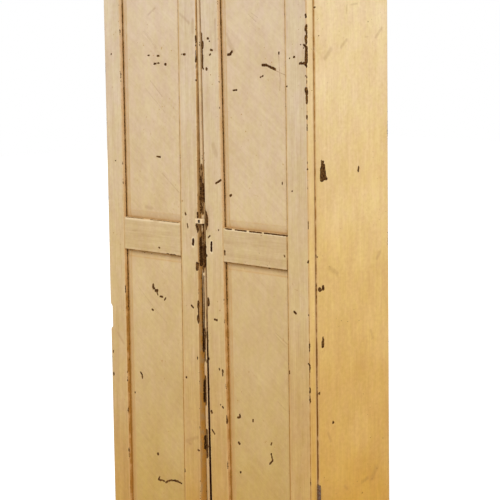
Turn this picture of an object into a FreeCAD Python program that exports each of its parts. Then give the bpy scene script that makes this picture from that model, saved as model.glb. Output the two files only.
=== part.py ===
import FreeCAD, Part
import os
from FreeCAD import Vector

# A tall, narrow painted pine cupboard with two panelled doors.
# Millimetres. X runs to the right, Y to the back and Z up. The origin is on the floor,
# under the middle of the whole box that the cupboard fills.
# The doors lie over the front edges of the case and hang on butt hinges at their outer edges.
# A board divides the inside in two, and a narrow strip on its front edge shows between the doors.

# The case
cupboard_width = 800.0
carcase_depth = 255.0
board_thickness = 20.0
top_board_thickness = 18.0
housing_depth = 6.0
bottom_board_height = 102.0
plinth_drop = 4.0
plinth_thickness = 22.0
frieze_lap = 30.0
partition_thickness = 25.0
corner_block_size = 32.0
corner_block_length = 70.0

# The back, five upright boards that lap each other by half their thickness
back_board_count = 5
back_board_thickness = 10.0
back_rebate = 8.0
back_lap = 6.0
back_joint_gap = 0.6

# The shelves and the cleats that they lie on
shelf_count = 4
shelf_thickness = 18.0
shelf_setback = 16.0
shelf_side_play = 0.5
cleat_size = 18.0
cleat_front_setback = 12.0

# The cornice, one moulding along the front and both sides
cornice_height = 80.0
cornice_door_gap = 15.0
cornice_projection = 47.4
cornice_foot = 29.0
cornice_bead = 9.0
cornice_cove_height = 40.0
cornice_cove_middle_shares = (0.25, 0.75)
cornice_fascia = 17.0

# The doors
door_height = 1730.0
door_thickness = 24.0
door_seat_gap = 1.4
door_floor_gap = 7.0
top_rail_height = 80.0
lock_rail_height = 88.0
bottom_rail_height = 84.0
left_hinge_stile_width = 68.3
right_hinge_stile_width = 77.1

# The meeting stiles lean, because both doors have dropped at their free edge.
# Each place is taken at the middle of the door's height, from the cupboard's middle plane,
# and each lean is how far that edge comes towards the middle plane over the whole height.
left_meeting_place = 19.6
left_meeting_stile_width = 69.5
left_meeting_lean = 17.1
left_inner_lean = 9.7
right_meeting_place = 13.0
right_meeting_stile_width = 67.2
right_meeting_lean = 18.2
right_inner_lean = 18.2

# The strip between the doors, which leans a little less
strip_left_place = 3.2
strip_right_place = 5.1
strip_left_lean = 11.2
strip_right_lean = 14.4

# Joints and panels of the doors
tenon_length = 42.0
tenon_thickness = 8.0
tenon_shoulder = 18.0
panel_setback = 11.5
panel_tongue = 6.0
panel_groove_depth = 8.0
panel_play = 0.5
panel_field_rise = 2.8
panel_field_margin = 19.0

# The butt hinges, two on each door
hinge_height = 76.0
hinge_upper_inset = 150.0
hinge_lower_inset = 208.5
hinge_knuckle_count = 5
hinge_knuckle_radius = 4.2
hinge_knuckle_clear = 0.4
hinge_knuckle_play = 0.3
hinge_leaf_width = 17.0
hinge_leaf_thickness = 1.6
hinge_leaf_play = 0.05
hinge_pin_radius = 2.1
running_fit = 0.05

# The wood screws of the hinges and the locks
screw_head_radius = 3.3
screw_shank_radius = 1.6
screw_length = 15.0
screw_clear = 0.1
lock_screw_length = 11.0
hinge_screw_shares = (0.16, 0.5, 0.84)

# The locks on the backs of the meeting stiles, and their keyholes
left_keyhole_inset = 18.8
left_keyhole_drop = 3.5
left_keyhole_height = 14.5
right_keyhole_inset = 21.6
right_keyhole_drop = 8.6
right_keyhole_height = 26.0
keyhole_head_radius = 2.6
keyhole_slot_width = 3.6
lock_case_width = 50.0
lock_case_height = 60.0
lock_case_depth = 11.0
lock_case_wall = 1.4
lock_case_margin = 0.8
lock_flange_height = 14.0
lock_bolt_height = 12.0
lock_bolt_thickness = 4.0
lock_bolt_length = 36.0
lock_bolt_entry = 6.0
lock_bolt_play = 0.3
lock_pin_radius = 1.3
lock_talon_width = 5.0
lock_talon_depth = 4.0

# The nails of the back boards, and the headless ones that hold the strip
nail_radius = 1.1
nail_head_radius = 2.6
nail_head_thickness = 0.8
back_nail_length = 38.0
strip_nail_length = 46.0
nail_clear = 0.1
back_nail_shares = (0.25, 0.75)
strip_nail_shares = (0.03, 0.2, 0.36, 0.64, 0.8, 0.97)

# The turn button on the strip
button_height_above_rail = 55.4
button_long_arm = 16.5
button_short_arm = 11.0
button_width = 12.5
button_thickness = 11.5
button_chamfer = 1.2
button_washer_radius = 5.2
button_washer_thickness = 0.8
button_screw_radius = 2.2
button_screw_head_radius = 3.8
button_screw_head_depth = 2.6
button_screw_sink = 0.6
button_screw_bite = 19.0
button_slot_width = 0.9
button_slot_depth = 0.9

# How far a cutting shape runs past what it cuts
overrun = 1.0

# Places that follow from the sizes
half_width = cupboard_width / 2
inner_half = half_width - board_thickness
overall_depth = carcase_depth + cornice_projection
y_back = overall_depth / 2
y_front = y_back - carcase_depth
y_door_back = y_front - door_seat_gap
y_door_front = y_door_back - door_thickness
y_inside_back = y_back - back_board_thickness
z_bottom_top = bottom_board_height + board_thickness
plinth_height = bottom_board_height - plinth_drop
z_door_bottom = plinth_height + door_floor_gap
z_door_top = z_door_bottom + door_height
z_middle = z_door_bottom + door_height / 2
z_frieze = z_door_top - frieze_lap
z_cornice = z_door_top + cornice_door_gap
side_height = z_cornice + cornice_height - top_board_thickness
x_hinge = half_width + hinge_knuckle_radius + hinge_knuckle_clear
y_hinge = y_front - door_seat_gap / 2


def block(x0, x1, y0, y1, z0, z1):
    """A square-cut piece between two corners."""
    return Part.makeBox(x1 - x0, y1 - y0, z1 - z0, Vector(x0, y0, z0))


def slab(points, y0, y1):
    """A flat piece whose outline is given in X and Z, between two planes across Y."""
    corners = [Vector(x, y0, z) for x, z in points]
    outline = Part.makePolygon(corners + corners[:1])
    return Part.Face(outline).extrude(Vector(0, y1 - y0, 0))


def rod(radius, start, direction, length):
    """A round bar from a point along a direction."""
    return Part.makeCylinder(radius, length, start, direction)


def on_side(shape, side):
    """Shapes are drawn on the right. side is 1 for the right and -1 for the left."""
    if side > 0:
        return shape
    return shape.mirror(Vector(0, 0, 0), Vector(1, 0, 0))


def leaning(place, lean, z):
    """Distance from the middle plane, at height z, of an edge that leans."""
    return place - lean * (z - z_middle) / door_height


def together(shapes):
    """Several separate solids in one node."""
    return Part.makeCompound(shapes)


def save(name, shape):
    shape.exportStep("parts/" + name + ".step")


# The case


def side_board(side):
    """An upright side, rebated for the back and housed for the bottom board."""
    board = block(inner_half, half_width, y_front, y_back, 0, side_height)
    rebate = block(
        inner_half - overrun, inner_half + back_rebate,
        y_inside_back, y_back + overrun, -overrun, side_height + overrun)
    housing = block(
        inner_half - overrun, inner_half + housing_depth,
        y_front - overrun, y_inside_back + overrun, bottom_board_height, z_bottom_top)
    board = board.cut(rebate).cut(housing)
    for z in hinge_starts():
        board = board.cut(case_leaf_recess(z))
        board = board.cut(screw_holes(z, 1))
    return on_side(board, side)


def bottom_board():
    reach = inner_half + housing_depth
    board = block(-reach, reach, y_front, y_inside_back, bottom_board_height, z_bottom_top)
    return board.cut(back_nail_row(bottom_board_height + board_thickness / 2, nail_clear))


def top_board():
    top = side_height + top_board_thickness
    return block(-half_width, half_width, y_front, y_back, side_height, top)


def frieze_rail():
    """The rail under the top, which the doors close against."""
    return block(
        -inner_half, inner_half, y_front, y_front + board_thickness, z_frieze, side_height)


def plinth_front():
    return block(-half_width, half_width, y_front - plinth_thickness, y_front, 0, plinth_height)


def plinth_back():
    y0 = y_inside_back - board_thickness
    return block(-inner_half, inner_half, y0, y_inside_back, 0, bottom_board_height)


def partition():
    """The upright board in the middle, cut away behind the frieze rail, with two bolt pockets."""
    half = partition_thickness / 2
    board = block(-half, half, y_front, y_inside_back, z_bottom_top, side_height)
    notch = block(
        -half - overrun, half + overrun, y_front - overrun, y_front + board_thickness,
        z_frieze, side_height + overrun)
    board = board.cut(notch)
    for side, lock in ((-1, left_lock()), (1, right_lock())):
        z0 = lock["z"] - lock_bolt_height / 2 - lock_bolt_play
        z1 = lock["z"] + lock_bolt_height / 2 + lock_bolt_play
        y0 = bolt_front() - lock_bolt_play
        y1 = bolt_front() + lock_bolt_thickness + lock_bolt_play
        deep = half - lock_bolt_entry - lock_bolt_play
        board = board.cut(on_side(block(deep, half + overrun, y0, y1, z0, z1), side))
    return board.cut(strip_nails(nail_clear))


def strip_edges(z):
    """Left and right edge of the strip between the doors at height z."""
    left = -strip_left_place - strip_left_lean * (z - z_middle) / door_height
    right = strip_right_place - strip_right_lean * (z - z_middle) / door_height
    return left, right


def meeting_strip():
    """The narrow strip between the doors, flush with their faces."""
    z0 = plinth_height
    z1 = z_cornice
    left0, right0 = strip_edges(z0)
    left1, right1 = strip_edges(z1)
    outline = [(left0, z0), (right0, z0), (right1, z1), (left1, z1)]
    strip = slab(outline, y_door_front, y_front)
    hole = rod(
        button_screw_radius + running_fit,
        Vector(button_x(), y_door_front - overrun, button_z()),
        Vector(0, 1, 0), button_screw_bite + 2 * overrun)
    return strip.cut(hole).cut(strip_nails(nail_clear))


def corner_blocks():
    """Four blocks that stiffen the corners under the bottom board."""
    z1 = bottom_board_height
    z0 = z1 - corner_block_size
    blocks = []
    for side in (-1, 1):
        for y0 in (y_front, y_inside_back - board_thickness - corner_block_length):
            piece = block(
                inner_half - corner_block_size, inner_half, y0, y0 + corner_block_length, z0, z1)
            blocks.append(on_side(piece, side))
    return together(blocks)


def back_board(index):
    """One upright board of the back. Its left edge laps behind its neighbour's right edge."""
    reach = inner_half + back_rebate
    pitch = 2 * reach / back_board_count
    x0 = -reach + index * pitch
    x1 = x0 + pitch
    y_half = (y_inside_back + y_back) / 2
    left = x0 if index == 0 else x0 + back_joint_gap
    board = block(left, x1, y_inside_back, y_back, 0, side_height)
    if index > 0:
        step = block(
            left - overrun, x0 + back_lap, y_inside_back - overrun, y_half,
            -overrun, side_height + overrun)
        board = board.cut(step)
    if index < back_board_count - 1:
        tongue = block(x1, x1 + back_lap - back_joint_gap, y_inside_back, y_half, 0, side_height)
        board = board.fuse(tongue).removeSplitter()
    return board.cut(back_nails(nail_clear))


# The shelves


def shelf_top(level):
    """Height of the top of a shelf, counted from 1 at the bottom."""
    room = side_height - z_bottom_top
    return z_bottom_top + level * room / (shelf_count + 1)


def shelf(side, level):
    z1 = shelf_top(level)
    x0 = partition_thickness / 2 + shelf_side_play
    x1 = inner_half - shelf_side_play
    piece = block(
        x0, x1, y_front + shelf_setback, y_inside_back, z1 - shelf_thickness, z1)
    return on_side(piece, side).cut(back_nail_row(z1 - shelf_thickness / 2, nail_clear))


def cleats(side):
    """The cleats of one compartment, two under each shelf."""
    half = partition_thickness / 2
    y0 = y_front + shelf_setback + cleat_front_setback
    pieces = []
    for level in range(1, shelf_count + 1):
        z1 = shelf_top(level) - shelf_thickness
        z0 = z1 - cleat_size
        for x0 in (half, inner_half - cleat_size):
            piece = block(x0, x0 + cleat_size, y0, y_inside_back, z0, z1)
            pieces.append(on_side(piece, side))
    return together(pieces)


# The nails


def back_nail_row(z, clear):
    """One row of nails through all the back boards. With a clearance it makes their holes."""
    reach = inner_half + back_rebate
    pitch = 2 * reach / back_board_count
    along = Vector(0, -1, 0)
    nails = []
    for index in range(back_board_count):
        for share in back_nail_shares:
            start = Vector(-reach + (index + share) * pitch, y_back, z)
            shank = rod(nail_radius + clear, start, along, back_nail_length + clear)
            head = rod(nail_head_radius + clear, start, along, nail_head_thickness + clear)
            nails.append(shank.fuse(head).removeSplitter())
    return together(nails)


def back_nails(clear):
    """The back boards are nailed to the bottom board and to every shelf."""
    heights = [bottom_board_height + board_thickness / 2]
    heights += [shelf_top(level) - shelf_thickness / 2 for level in range(1, shelf_count + 1)]
    rows = [back_nail_row(z, clear).Solids for z in heights]
    return together([nail for row in rows for nail in row])


def strip_nails(clear):
    """Headless nails through the strip between the doors into the edge of the partition."""
    nails = []
    for share in strip_nail_shares:
        z = z_bottom_top + share * (z_frieze - z_bottom_top)
        start = Vector(sum(strip_edges(z)) / 2, y_door_front, z)
        nails.append(rod(nail_radius + clear, start, Vector(0, 1, 0), strip_nail_length + clear))
    return together(nails)


# The cornice


def cornice_profile():
    """Outline in distance out from the case and height: a bead, a cove and a fascia."""
    z0 = z_cornice
    z_bead = z0 + cornice_bead
    z_cove = z_bead + cornice_cove_height
    z_fascia = z_cove + cornice_fascia
    z1 = z0 + cornice_height
    neck = cornice_foot - cornice_bead / 2
    out_share, up_share = cornice_cove_middle_shares
    cove_mid = Vector(
        neck + (cornice_projection - neck) * out_share, 0,
        z_bead + cornice_cove_height * up_share)
    points = [
        Vector(0, 0, z0), Vector(cornice_foot, 0, z0), Vector(cornice_foot, 0, z_bead),
        Vector(neck, 0, z_bead), Vector(cornice_projection, 0, z_cove),
        Vector(cornice_projection, 0, z_fascia),
        Vector(cornice_projection - cornice_bead, 0, z1), Vector(0, 0, z1)]
    edges = [Part.makeLine(points[i], points[i + 1]) for i in range(3)]
    edges.append(Part.Arc(points[3], cove_mid, points[4]).toShape())
    edges += [Part.makeLine(points[i], points[i + 1]) for i in range(4, 7)]
    edges.append(Part.makeLine(points[7], points[0]))
    return Part.Face(Part.Wire(edges))


def mitre_tool(corner_x):
    """A wedge that keeps what lies in front of the 45 degree line from a corner of the case."""
    far = cornice_projection + overrun
    z0 = z_cornice - overrun
    z1 = z_cornice + cornice_height + overrun
    corners = [
        Vector(-corner_x, y_front, z0), Vector(corner_x, y_front, z0),
        Vector(corner_x + far, y_front - far, z0), Vector(-corner_x - far, y_front - far, z0)]
    face = Part.Face(Part.makePolygon(corners + corners[:1]))
    return face.extrude(Vector(0, 0, z1 - z0))


def cornice_front():
    profile = cornice_profile()
    profile.rotate(Vector(0, 0, 0), Vector(0, 0, 1), -90)
    reach = half_width + cornice_projection
    profile.translate(Vector(-reach, y_front, 0))
    moulding = profile.extrude(Vector(2 * reach, 0, 0))
    return moulding.common(mitre_tool(half_width))


def cornice_return(side):
    profile = cornice_profile()
    profile.translate(Vector(half_width, y_front - cornice_projection, 0))
    moulding = profile.extrude(Vector(0, cornice_projection + carcase_depth, 0))
    return on_side(moulding.cut(mitre_tool(half_width)), side)


# The hinges


def hinge_starts():
    """Bottom of the lower and of the upper hinge."""
    lower = z_door_bottom + hinge_lower_inset
    upper = z_door_top - hinge_upper_inset - hinge_height
    return lower, upper


def leaf_plate(z, facing):
    """The flat of one leaf. facing is 1 for the leaf on the case and -1 for the one on the door."""
    near = y_hinge + facing * hinge_leaf_play
    far = near + facing * hinge_leaf_thickness
    y0 = min(near, far)
    y1 = max(near, far)
    return block(half_width - hinge_leaf_width, half_width, y0, y1, z, z + hinge_height)


def case_leaf_recess(z):
    return leaf_plate(z, 1)


def door_leaf_recess(z):
    return leaf_plate(z, -1)


def hinge_leaf(z, facing):
    """A leaf with its knuckles. The case's leaf has the outer and the middle knuckles."""
    leaf = leaf_plate(z, facing)
    pitch = hinge_height / hinge_knuckle_count
    near = y_hinge + facing * hinge_leaf_play
    far = near + facing * hinge_leaf_thickness
    first = 0 if facing > 0 else 1
    for index in range(first, hinge_knuckle_count, 2):
        z0 = z + index * pitch
        z1 = z0 + pitch
        if index > 0:
            z0 += hinge_knuckle_play / 2
        if index < hinge_knuckle_count - 1:
            z1 -= hinge_knuckle_play / 2
        tab = block(half_width, x_hinge, min(near, far), max(near, far), z0, z1)
        knuckle = rod(hinge_knuckle_radius, Vector(x_hinge, y_hinge, z0), Vector(0, 0, 1), z1 - z0)
        leaf = leaf.fuse(tab).fuse(knuckle)
    bore = rod(
        hinge_pin_radius + running_fit, Vector(x_hinge, y_hinge, z - overrun),
        Vector(0, 0, 1), hinge_height + 2 * overrun)
    leaf = leaf.cut(bore)
    for share in hinge_screw_shares:
        leaf = leaf.cut(wood_screw(hinge_screw_head(z, share, facing), facing, screw_clear))
    return leaf.removeSplitter()


def hinge_screw_head(z, share, facing):
    """Middle of a screw's head, on the face of the leaf that the other leaf closes on."""
    x = half_width - hinge_leaf_width / 2
    return Vector(x, y_hinge + facing * hinge_leaf_play, z + share * hinge_height)


def wood_screw(head, facing, clear, length=screw_length):
    """A countersunk screw along Y. clear makes the hole that it goes into."""
    sink = hinge_leaf_thickness
    along = Vector(0, facing, 0)
    top = screw_head_radius + clear
    shank = screw_shank_radius + clear
    cone = Part.makeCone(top, shank, sink, head, along)
    body = rod(shank, head + along * sink, along, length - sink + clear)
    return cone.fuse(body).removeSplitter()


def screw_holes(z, facing):
    """The holes in the wood behind one leaf."""
    holes = [
        wood_screw(hinge_screw_head(z, share, facing), facing, screw_clear)
        for share in hinge_screw_shares]
    return together(holes)


def leaves(side, facing):
    return together([on_side(hinge_leaf(z, facing), side) for z in hinge_starts()])


def hinge_screws(side, facing):
    screws = []
    for z in hinge_starts():
        for share in hinge_screw_shares:
            screw = wood_screw(hinge_screw_head(z, share, facing), facing, 0)
            screws.append(on_side(screw, side))
    return screws


def hinge_pins():
    pins = []
    for side in (-1, 1):
        for z in hinge_starts():
            pin = rod(hinge_pin_radius, Vector(x_hinge, y_hinge, z), Vector(0, 0, 1), hinge_height)
            pins.append(on_side(pin, side))
    return together(pins)


# The locks


def lock_at(meeting_place, meeting_lean, inset, drop, keyhole_height):
    """The places of one lock, drawn on the right."""
    z = z_middle - drop
    edge = leaning(meeting_place, meeting_lean, z - lock_case_height / 2)
    throw = edge + lock_case_margin - partition_thickness / 2 + lock_bolt_entry
    return {
        "z": z, "keyhole_x": leaning(meeting_place, meeting_lean, z) + inset,
        "keyhole_height": keyhole_height, "case_x": edge + lock_case_margin, "throw": throw}


def left_lock():
    return lock_at(
        left_meeting_place, left_meeting_lean, left_keyhole_inset, left_keyhole_drop,
        left_keyhole_height)


def right_lock():
    return lock_at(
        right_meeting_place, right_meeting_lean, right_keyhole_inset, right_keyhole_drop,
        right_keyhole_height)


def bolt_front():
    """Plane of the bolt's front face, in the middle of the lock case."""
    return y_door_back + (lock_case_depth - lock_bolt_thickness) / 2


def keyhole(lock):
    """A round head over a narrow slot, right through the stile."""
    z1 = lock["z"] + lock["keyhole_height"] / 2
    z0 = lock["z"] - lock["keyhole_height"] / 2
    start = y_door_front - overrun
    through = door_thickness + 2 * overrun
    head = rod(
        keyhole_head_radius, Vector(lock["keyhole_x"], start, z1 - keyhole_head_radius),
        Vector(0, 1, 0), through)
    slot = block(
        lock["keyhole_x"] - keyhole_slot_width / 2, lock["keyhole_x"] + keyhole_slot_width / 2,
        start, start + through, z0, z1 - keyhole_head_radius)
    return head.fuse(slot)


def bolt_bar(lock, out, play):
    """The bolt drawn out by a distance. play makes the opening that it slides in."""
    x0 = lock["case_x"] - out
    return block(
        x0 - play, x0 + lock_bolt_length + play,
        bolt_front() - play, bolt_front() + lock_bolt_thickness + play,
        lock["z"] - lock_bolt_height / 2 - play, lock["z"] + lock_bolt_height / 2 + play)


def lock_case(lock, side):
    """An open iron box on the back of the stile, with a flange above and below."""
    x0 = lock["case_x"]
    x1 = x0 + lock_case_width
    z0 = lock["z"] - lock_case_height / 2
    z1 = lock["z"] + lock_case_height / 2
    y1 = y_door_back + lock_case_depth
    wall = lock_case_wall
    case = block(x0, x1, y_door_back, y1, z0, z1)
    hollow = block(
        x0 + wall, x1 - wall, y_door_back - overrun, y1 - wall, z0 + wall, z1 - wall)
    case = case.cut(hollow)
    flange = block(
        x0, x1, y_door_back, y_door_back + hinge_leaf_thickness,
        z0 - lock_flange_height, z1 + lock_flange_height)
    flange = flange.cut(block(x0, x1, y_door_back, y1, z0, z1))
    case = case.fuse(flange)
    pin = rod(
        lock_pin_radius, Vector(lock["keyhole_x"], y_door_back, lock_pin_height(lock)),
        Vector(0, 1, 0), lock_case_depth - wall)
    case = case.fuse(pin)
    case = case.cut(bolt_bar(lock, lock_bolt_length / 2, lock_bolt_play))
    for head in lock_screw_heads(lock):
        case = case.cut(wood_screw(head, -1, screw_clear, lock_screw_length))
    return on_side(case.removeSplitter(), side)


def lock_pin_height(lock):
    """The key's pin stands below the bolt."""
    return lock["z"] - lock_bolt_height / 2 - lock_bolt_play - 2 * lock_pin_radius


def lock_screw_heads(lock):
    """Heads of the four screws that hold a lock, at the corners of its flanges."""
    inset = lock_flange_height / 2
    y = y_door_back + hinge_leaf_thickness
    heads = []
    for x in (lock["case_x"] + inset, lock["case_x"] + lock_case_width - inset):
        for upward in (-1, 1):
            z = lock["z"] + upward * (lock_case_height / 2 + inset)
            heads.append(Vector(x, y, z))
    return heads


def lock_bolt(lock, side):
    """The bolt at rest, drawn back, with the notch that the key turns in."""
    bar = bolt_bar(lock, 0, 0)
    x0 = lock["keyhole_x"] - lock_talon_width / 2
    z0 = lock["z"] - lock_bolt_height / 2
    talon = block(
        x0, x0 + lock_talon_width, bolt_front() - overrun,
        bolt_front() + lock_bolt_thickness + overrun, z0 - overrun, z0 + lock_talon_depth)
    return on_side(bar.cut(talon), side)


def lock_screws(lock, side):
    screws = [wood_screw(head, -1, 0, lock_screw_length) for head in lock_screw_heads(lock)]
    return [on_side(screw, side) for screw in screws]


# The doors


def door_outline(door, z0, z1, grow):
    """Outline of a panel opening, grown on all sides. The meeting side leans."""
    x_hinge_side = half_width - door["hinge_stile_width"]
    x0 = leaning(door["inner_place"], door["inner_lean"], z0)
    x1 = leaning(door["inner_place"], door["inner_lean"], z1)
    return [
        (x0 - grow, z0 - grow), (x_hinge_side + grow, z0 - grow),
        (x_hinge_side + grow, z1 + grow), (x1 - grow, z1 + grow)]


def panel_spans():
    """Bottom and top of the lower and of the upper panel opening."""
    lower = (z_door_bottom + bottom_rail_height, z_middle - lock_rail_height / 2)
    upper = (z_middle + lock_rail_height / 2, z_door_top - top_rail_height)
    return lower, upper


def rail_spans():
    """Bottom and top of the bottom, lock and top rails."""
    lower, upper = panel_spans()
    return (z_door_bottom, lower[0]), (lower[1], upper[0]), (upper[1], z_door_top)


def panel_grooves(door):
    """What the grooves for both panels take out of the frame."""
    y0 = y_door_front + panel_setback
    y1 = y0 + panel_tongue
    grooves = [
        slab(door_outline(door, z0, z1, panel_groove_depth), y0, y1)
        for z0, z1 in panel_spans()]
    return together(grooves)


def tenons(door, z0, z1):
    """The two tenons of one rail."""
    y0 = (y_door_front + y_door_back - tenon_thickness) / 2
    y1 = y0 + tenon_thickness
    x_inner = leaning(door["inner_place"], door["inner_lean"], z0)
    x_outer = half_width - door["hinge_stile_width"]
    low = z0 + tenon_shoulder
    high = z1 - tenon_shoulder
    return together([
        block(x_inner - tenon_length, x_inner + tenon_shoulder, y0, y1, low, high),
        block(x_outer - tenon_shoulder, x_outer + tenon_length, y0, y1, low, high)])


def door_rail(door, z0, z1):
    rail = slab(door_outline(door, z0, z1, 0), y_door_front, y_door_back)
    rail = rail.cut(panel_grooves(door))
    for tenon in tenons(door, z0, z1).Solids:
        rail = rail.fuse(tenon)
    return on_side(rail.removeSplitter(), door["side"])


def without_tenons(stile, door):
    for z0, z1 in rail_spans():
        stile = stile.cut(tenons(door, z0, z1))
    return stile.cut(panel_grooves(door))


def hinge_stile(door):
    stile = block(
        half_width - door["hinge_stile_width"], half_width, y_door_front, y_door_back,
        z_door_bottom, z_door_top)
    stile = without_tenons(stile, door)
    for z in hinge_starts():
        stile = stile.cut(door_leaf_recess(z)).cut(screw_holes(z, -1))
    return on_side(stile, door["side"])


def meeting_stile(door):
    z0, z1 = z_door_bottom, z_door_top
    outline = [
        (leaning(door["meeting_place"], door["meeting_lean"], z0), z0),
        (leaning(door["inner_place"], door["inner_lean"], z0), z0),
        (leaning(door["inner_place"], door["inner_lean"], z1), z1),
        (leaning(door["meeting_place"], door["meeting_lean"], z1), z1)]
    stile = without_tenons(slab(outline, y_door_front, y_door_back), door)
    stile = stile.cut(keyhole(door["lock"]))
    for head in lock_screw_heads(door["lock"]):
        stile = stile.cut(wood_screw(head, -1, screw_clear, lock_screw_length))
    return on_side(stile, door["side"])


def door_panel(door, z0, z1):
    """A panel with a tongue all round and a raised field with sloped margins."""
    y_foot = y_door_front + panel_setback
    grow = panel_groove_depth - panel_play
    plate = slab(door_outline(door, z0, z1, grow), y_foot, y_foot + panel_tongue)
    y_field = y_foot - panel_field_rise
    wires = []
    for grow, y in ((-panel_play, y_foot), (-panel_field_margin, y_field)):
        corners = [Vector(x, y, z) for x, z in door_outline(door, z0, z1, grow)]
        wires.append(Part.makePolygon(corners + corners[:1]))
    field = Part.makeLoft(wires, True, True)
    return on_side(plate.fuse(field).removeSplitter(), door["side"])


def save_door(name, door):
    """Every piece of one door, by name."""
    lock = door["lock"]
    side = door["side"]
    save(name + "_hinge_stile", hinge_stile(door))
    save(name + "_meeting_stile", meeting_stile(door))
    for rail, (z0, z1) in zip(("bottom_rail", "lock_rail", "top_rail"), rail_spans()):
        save(name + "_" + rail, door_rail(door, z0, z1))
    for panel, (z0, z1) in zip(("lower_panel", "upper_panel"), panel_spans()):
        save(name + "_" + panel, door_panel(door, z0, z1))
    save(name + "_hinge_leaves", leaves(side, -1))
    save(name + "_screws", together(hinge_screws(side, -1) + lock_screws(lock, side)))
    save(name + "_lock_case", lock_case(lock, side))
    save(name + "_lock_bolt", lock_bolt(lock, side))


# The turn button


def button_z():
    return z_middle + button_height_above_rail


def button_x():
    """The button turns on the middle of the strip."""
    return sum(strip_edges(button_z())) / 2


def button_back():
    return y_door_front - button_washer_thickness


def turn_button():
    """A small wooden block, longer to one side of its screw, free of both doors at rest."""
    y1 = button_back()
    y0 = y1 - button_thickness
    z0 = button_z() - button_width / 2
    piece = block(
        button_x() - button_long_arm, button_x() + button_short_arm, y0, y1,
        z0, z0 + button_width)
    front_edges = [edge for edge in piece.Edges if edge.BoundBox.YMax < y0 + button_chamfer]
    return piece.makeChamfer(button_chamfer, front_edges).cut(button_hole())


def button_head_middle():
    """Middle of the screw's head, a little below the face of the button."""
    y0 = button_back() - button_thickness + button_screw_sink
    return Vector(button_x(), y0, button_z())


def button_hole():
    """The countersunk hole in the button."""
    along = Vector(0, 1, 0)
    middle = button_head_middle()
    head_radius = button_screw_head_radius + screw_clear
    shank_radius = button_screw_radius + running_fit
    head_depth = button_screw_head_depth + screw_clear
    cone = Part.makeCone(head_radius, shank_radius, head_depth, middle, along)
    shank = rod(shank_radius, middle, along, button_thickness + overrun)
    well_depth = button_screw_sink + overrun
    well = rod(head_radius, middle - along * well_depth, along, well_depth)
    return cone.fuse(shank).fuse(well).removeSplitter()


def button_screw():
    """The screw that the button turns on, with a slot across its head."""
    along = Vector(0, 1, 0)
    middle = button_head_middle()
    cone = Part.makeCone(
        button_screw_head_radius, button_screw_radius, button_screw_head_depth, middle, along)
    length = button_thickness - button_screw_sink + button_washer_thickness + button_screw_bite
    screw = cone.fuse(rod(button_screw_radius, middle, along, length)).removeSplitter()
    reach = button_screw_head_radius + overrun
    slot = block(
        middle.x - reach, middle.x + reach, middle.y - overrun, middle.y + button_slot_depth,
        middle.z - button_slot_width / 2, middle.z + button_slot_width / 2)
    return screw.cut(slot)


def button_washer():
    start = Vector(button_x(), button_back(), button_z())
    along = Vector(0, 1, 0)
    disc = rod(button_washer_radius, start, along, button_washer_thickness)
    hole = rod(
        button_screw_radius + running_fit, start - along * overrun, along,
        button_washer_thickness + 2 * overrun)
    return disc.cut(hole)


os.makedirs("parts", exist_ok=True)

save("left_side", side_board(-1))
save("right_side", side_board(1))
save("bottom_board", bottom_board())
save("top_board", top_board())
save("frieze_rail", frieze_rail())
save("plinth_front", plinth_front())
save("plinth_back", plinth_back())
save("partition", partition())
save("meeting_strip", meeting_strip())
save("corner_blocks", corner_blocks())
save("back_nails", back_nails(0))
save("strip_nails", strip_nails(0))
for index in range(back_board_count):
    save("back_board_%d" % (index + 1), back_board(index))
for side_name, side in (("left", -1), ("right", 1)):
    for level in range(1, shelf_count + 1):
        save("%s_shelf_%d" % (side_name, level), shelf(side, level))
    save(side_name + "_cleats", cleats(side))
    save(side_name + "_cornice", cornice_return(side))
    save(side_name + "_case_hinge_leaves", leaves(side, 1))
save("front_cornice", cornice_front())
save("hinge_pins", hinge_pins())
save("case_screws", together(hinge_screws(-1, 1) + hinge_screws(1, 1)))

left_door = {
    "side": -1, "hinge_stile_width": left_hinge_stile_width, "lock": left_lock(),
    "meeting_place": left_meeting_place, "meeting_lean": left_meeting_lean,
    "inner_place": left_meeting_place + left_meeting_stile_width, "inner_lean": left_inner_lean}
right_door = {
    "side": 1, "hinge_stile_width": right_hinge_stile_width, "lock": right_lock(),
    "meeting_place": right_meeting_place, "meeting_lean": right_meeting_lean,
    "inner_place": right_meeting_place + right_meeting_stile_width,
    "inner_lean": right_inner_lean}
save_door("left_door", left_door)
save_door("right_door", right_door)

save("turn_button", turn_button())
save("turn_button_screw", button_screw())
save("turn_button_washer", button_washer())

print("hinge axis", x_hinge, y_hinge, "door bottom and top", z_door_bottom, z_door_top)
print("button", button_x(), button_back(), button_z())
for side_name, lock in (("left", left_lock()), ("right", right_lock())):
    print(side_name, "lock", {key: round(value, 3) for key, value in lock.items()})
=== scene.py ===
# %% [markdown]
# # An old painted cupboard
#
# This lesson dresses a tall kitchen cupboard with two panelled doors. The construction comes ready
# made: every board, hinge and lock is already in its place and at its size. What is left to make is
# what a hundred years do to it: brushed oil paint that has yellowed from the floor upwards, dirt in
# each corner, rubbed arrises and chips that show dark wood. Nothing here moves or resizes a piece.

# %% Load the construction
import math

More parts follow.
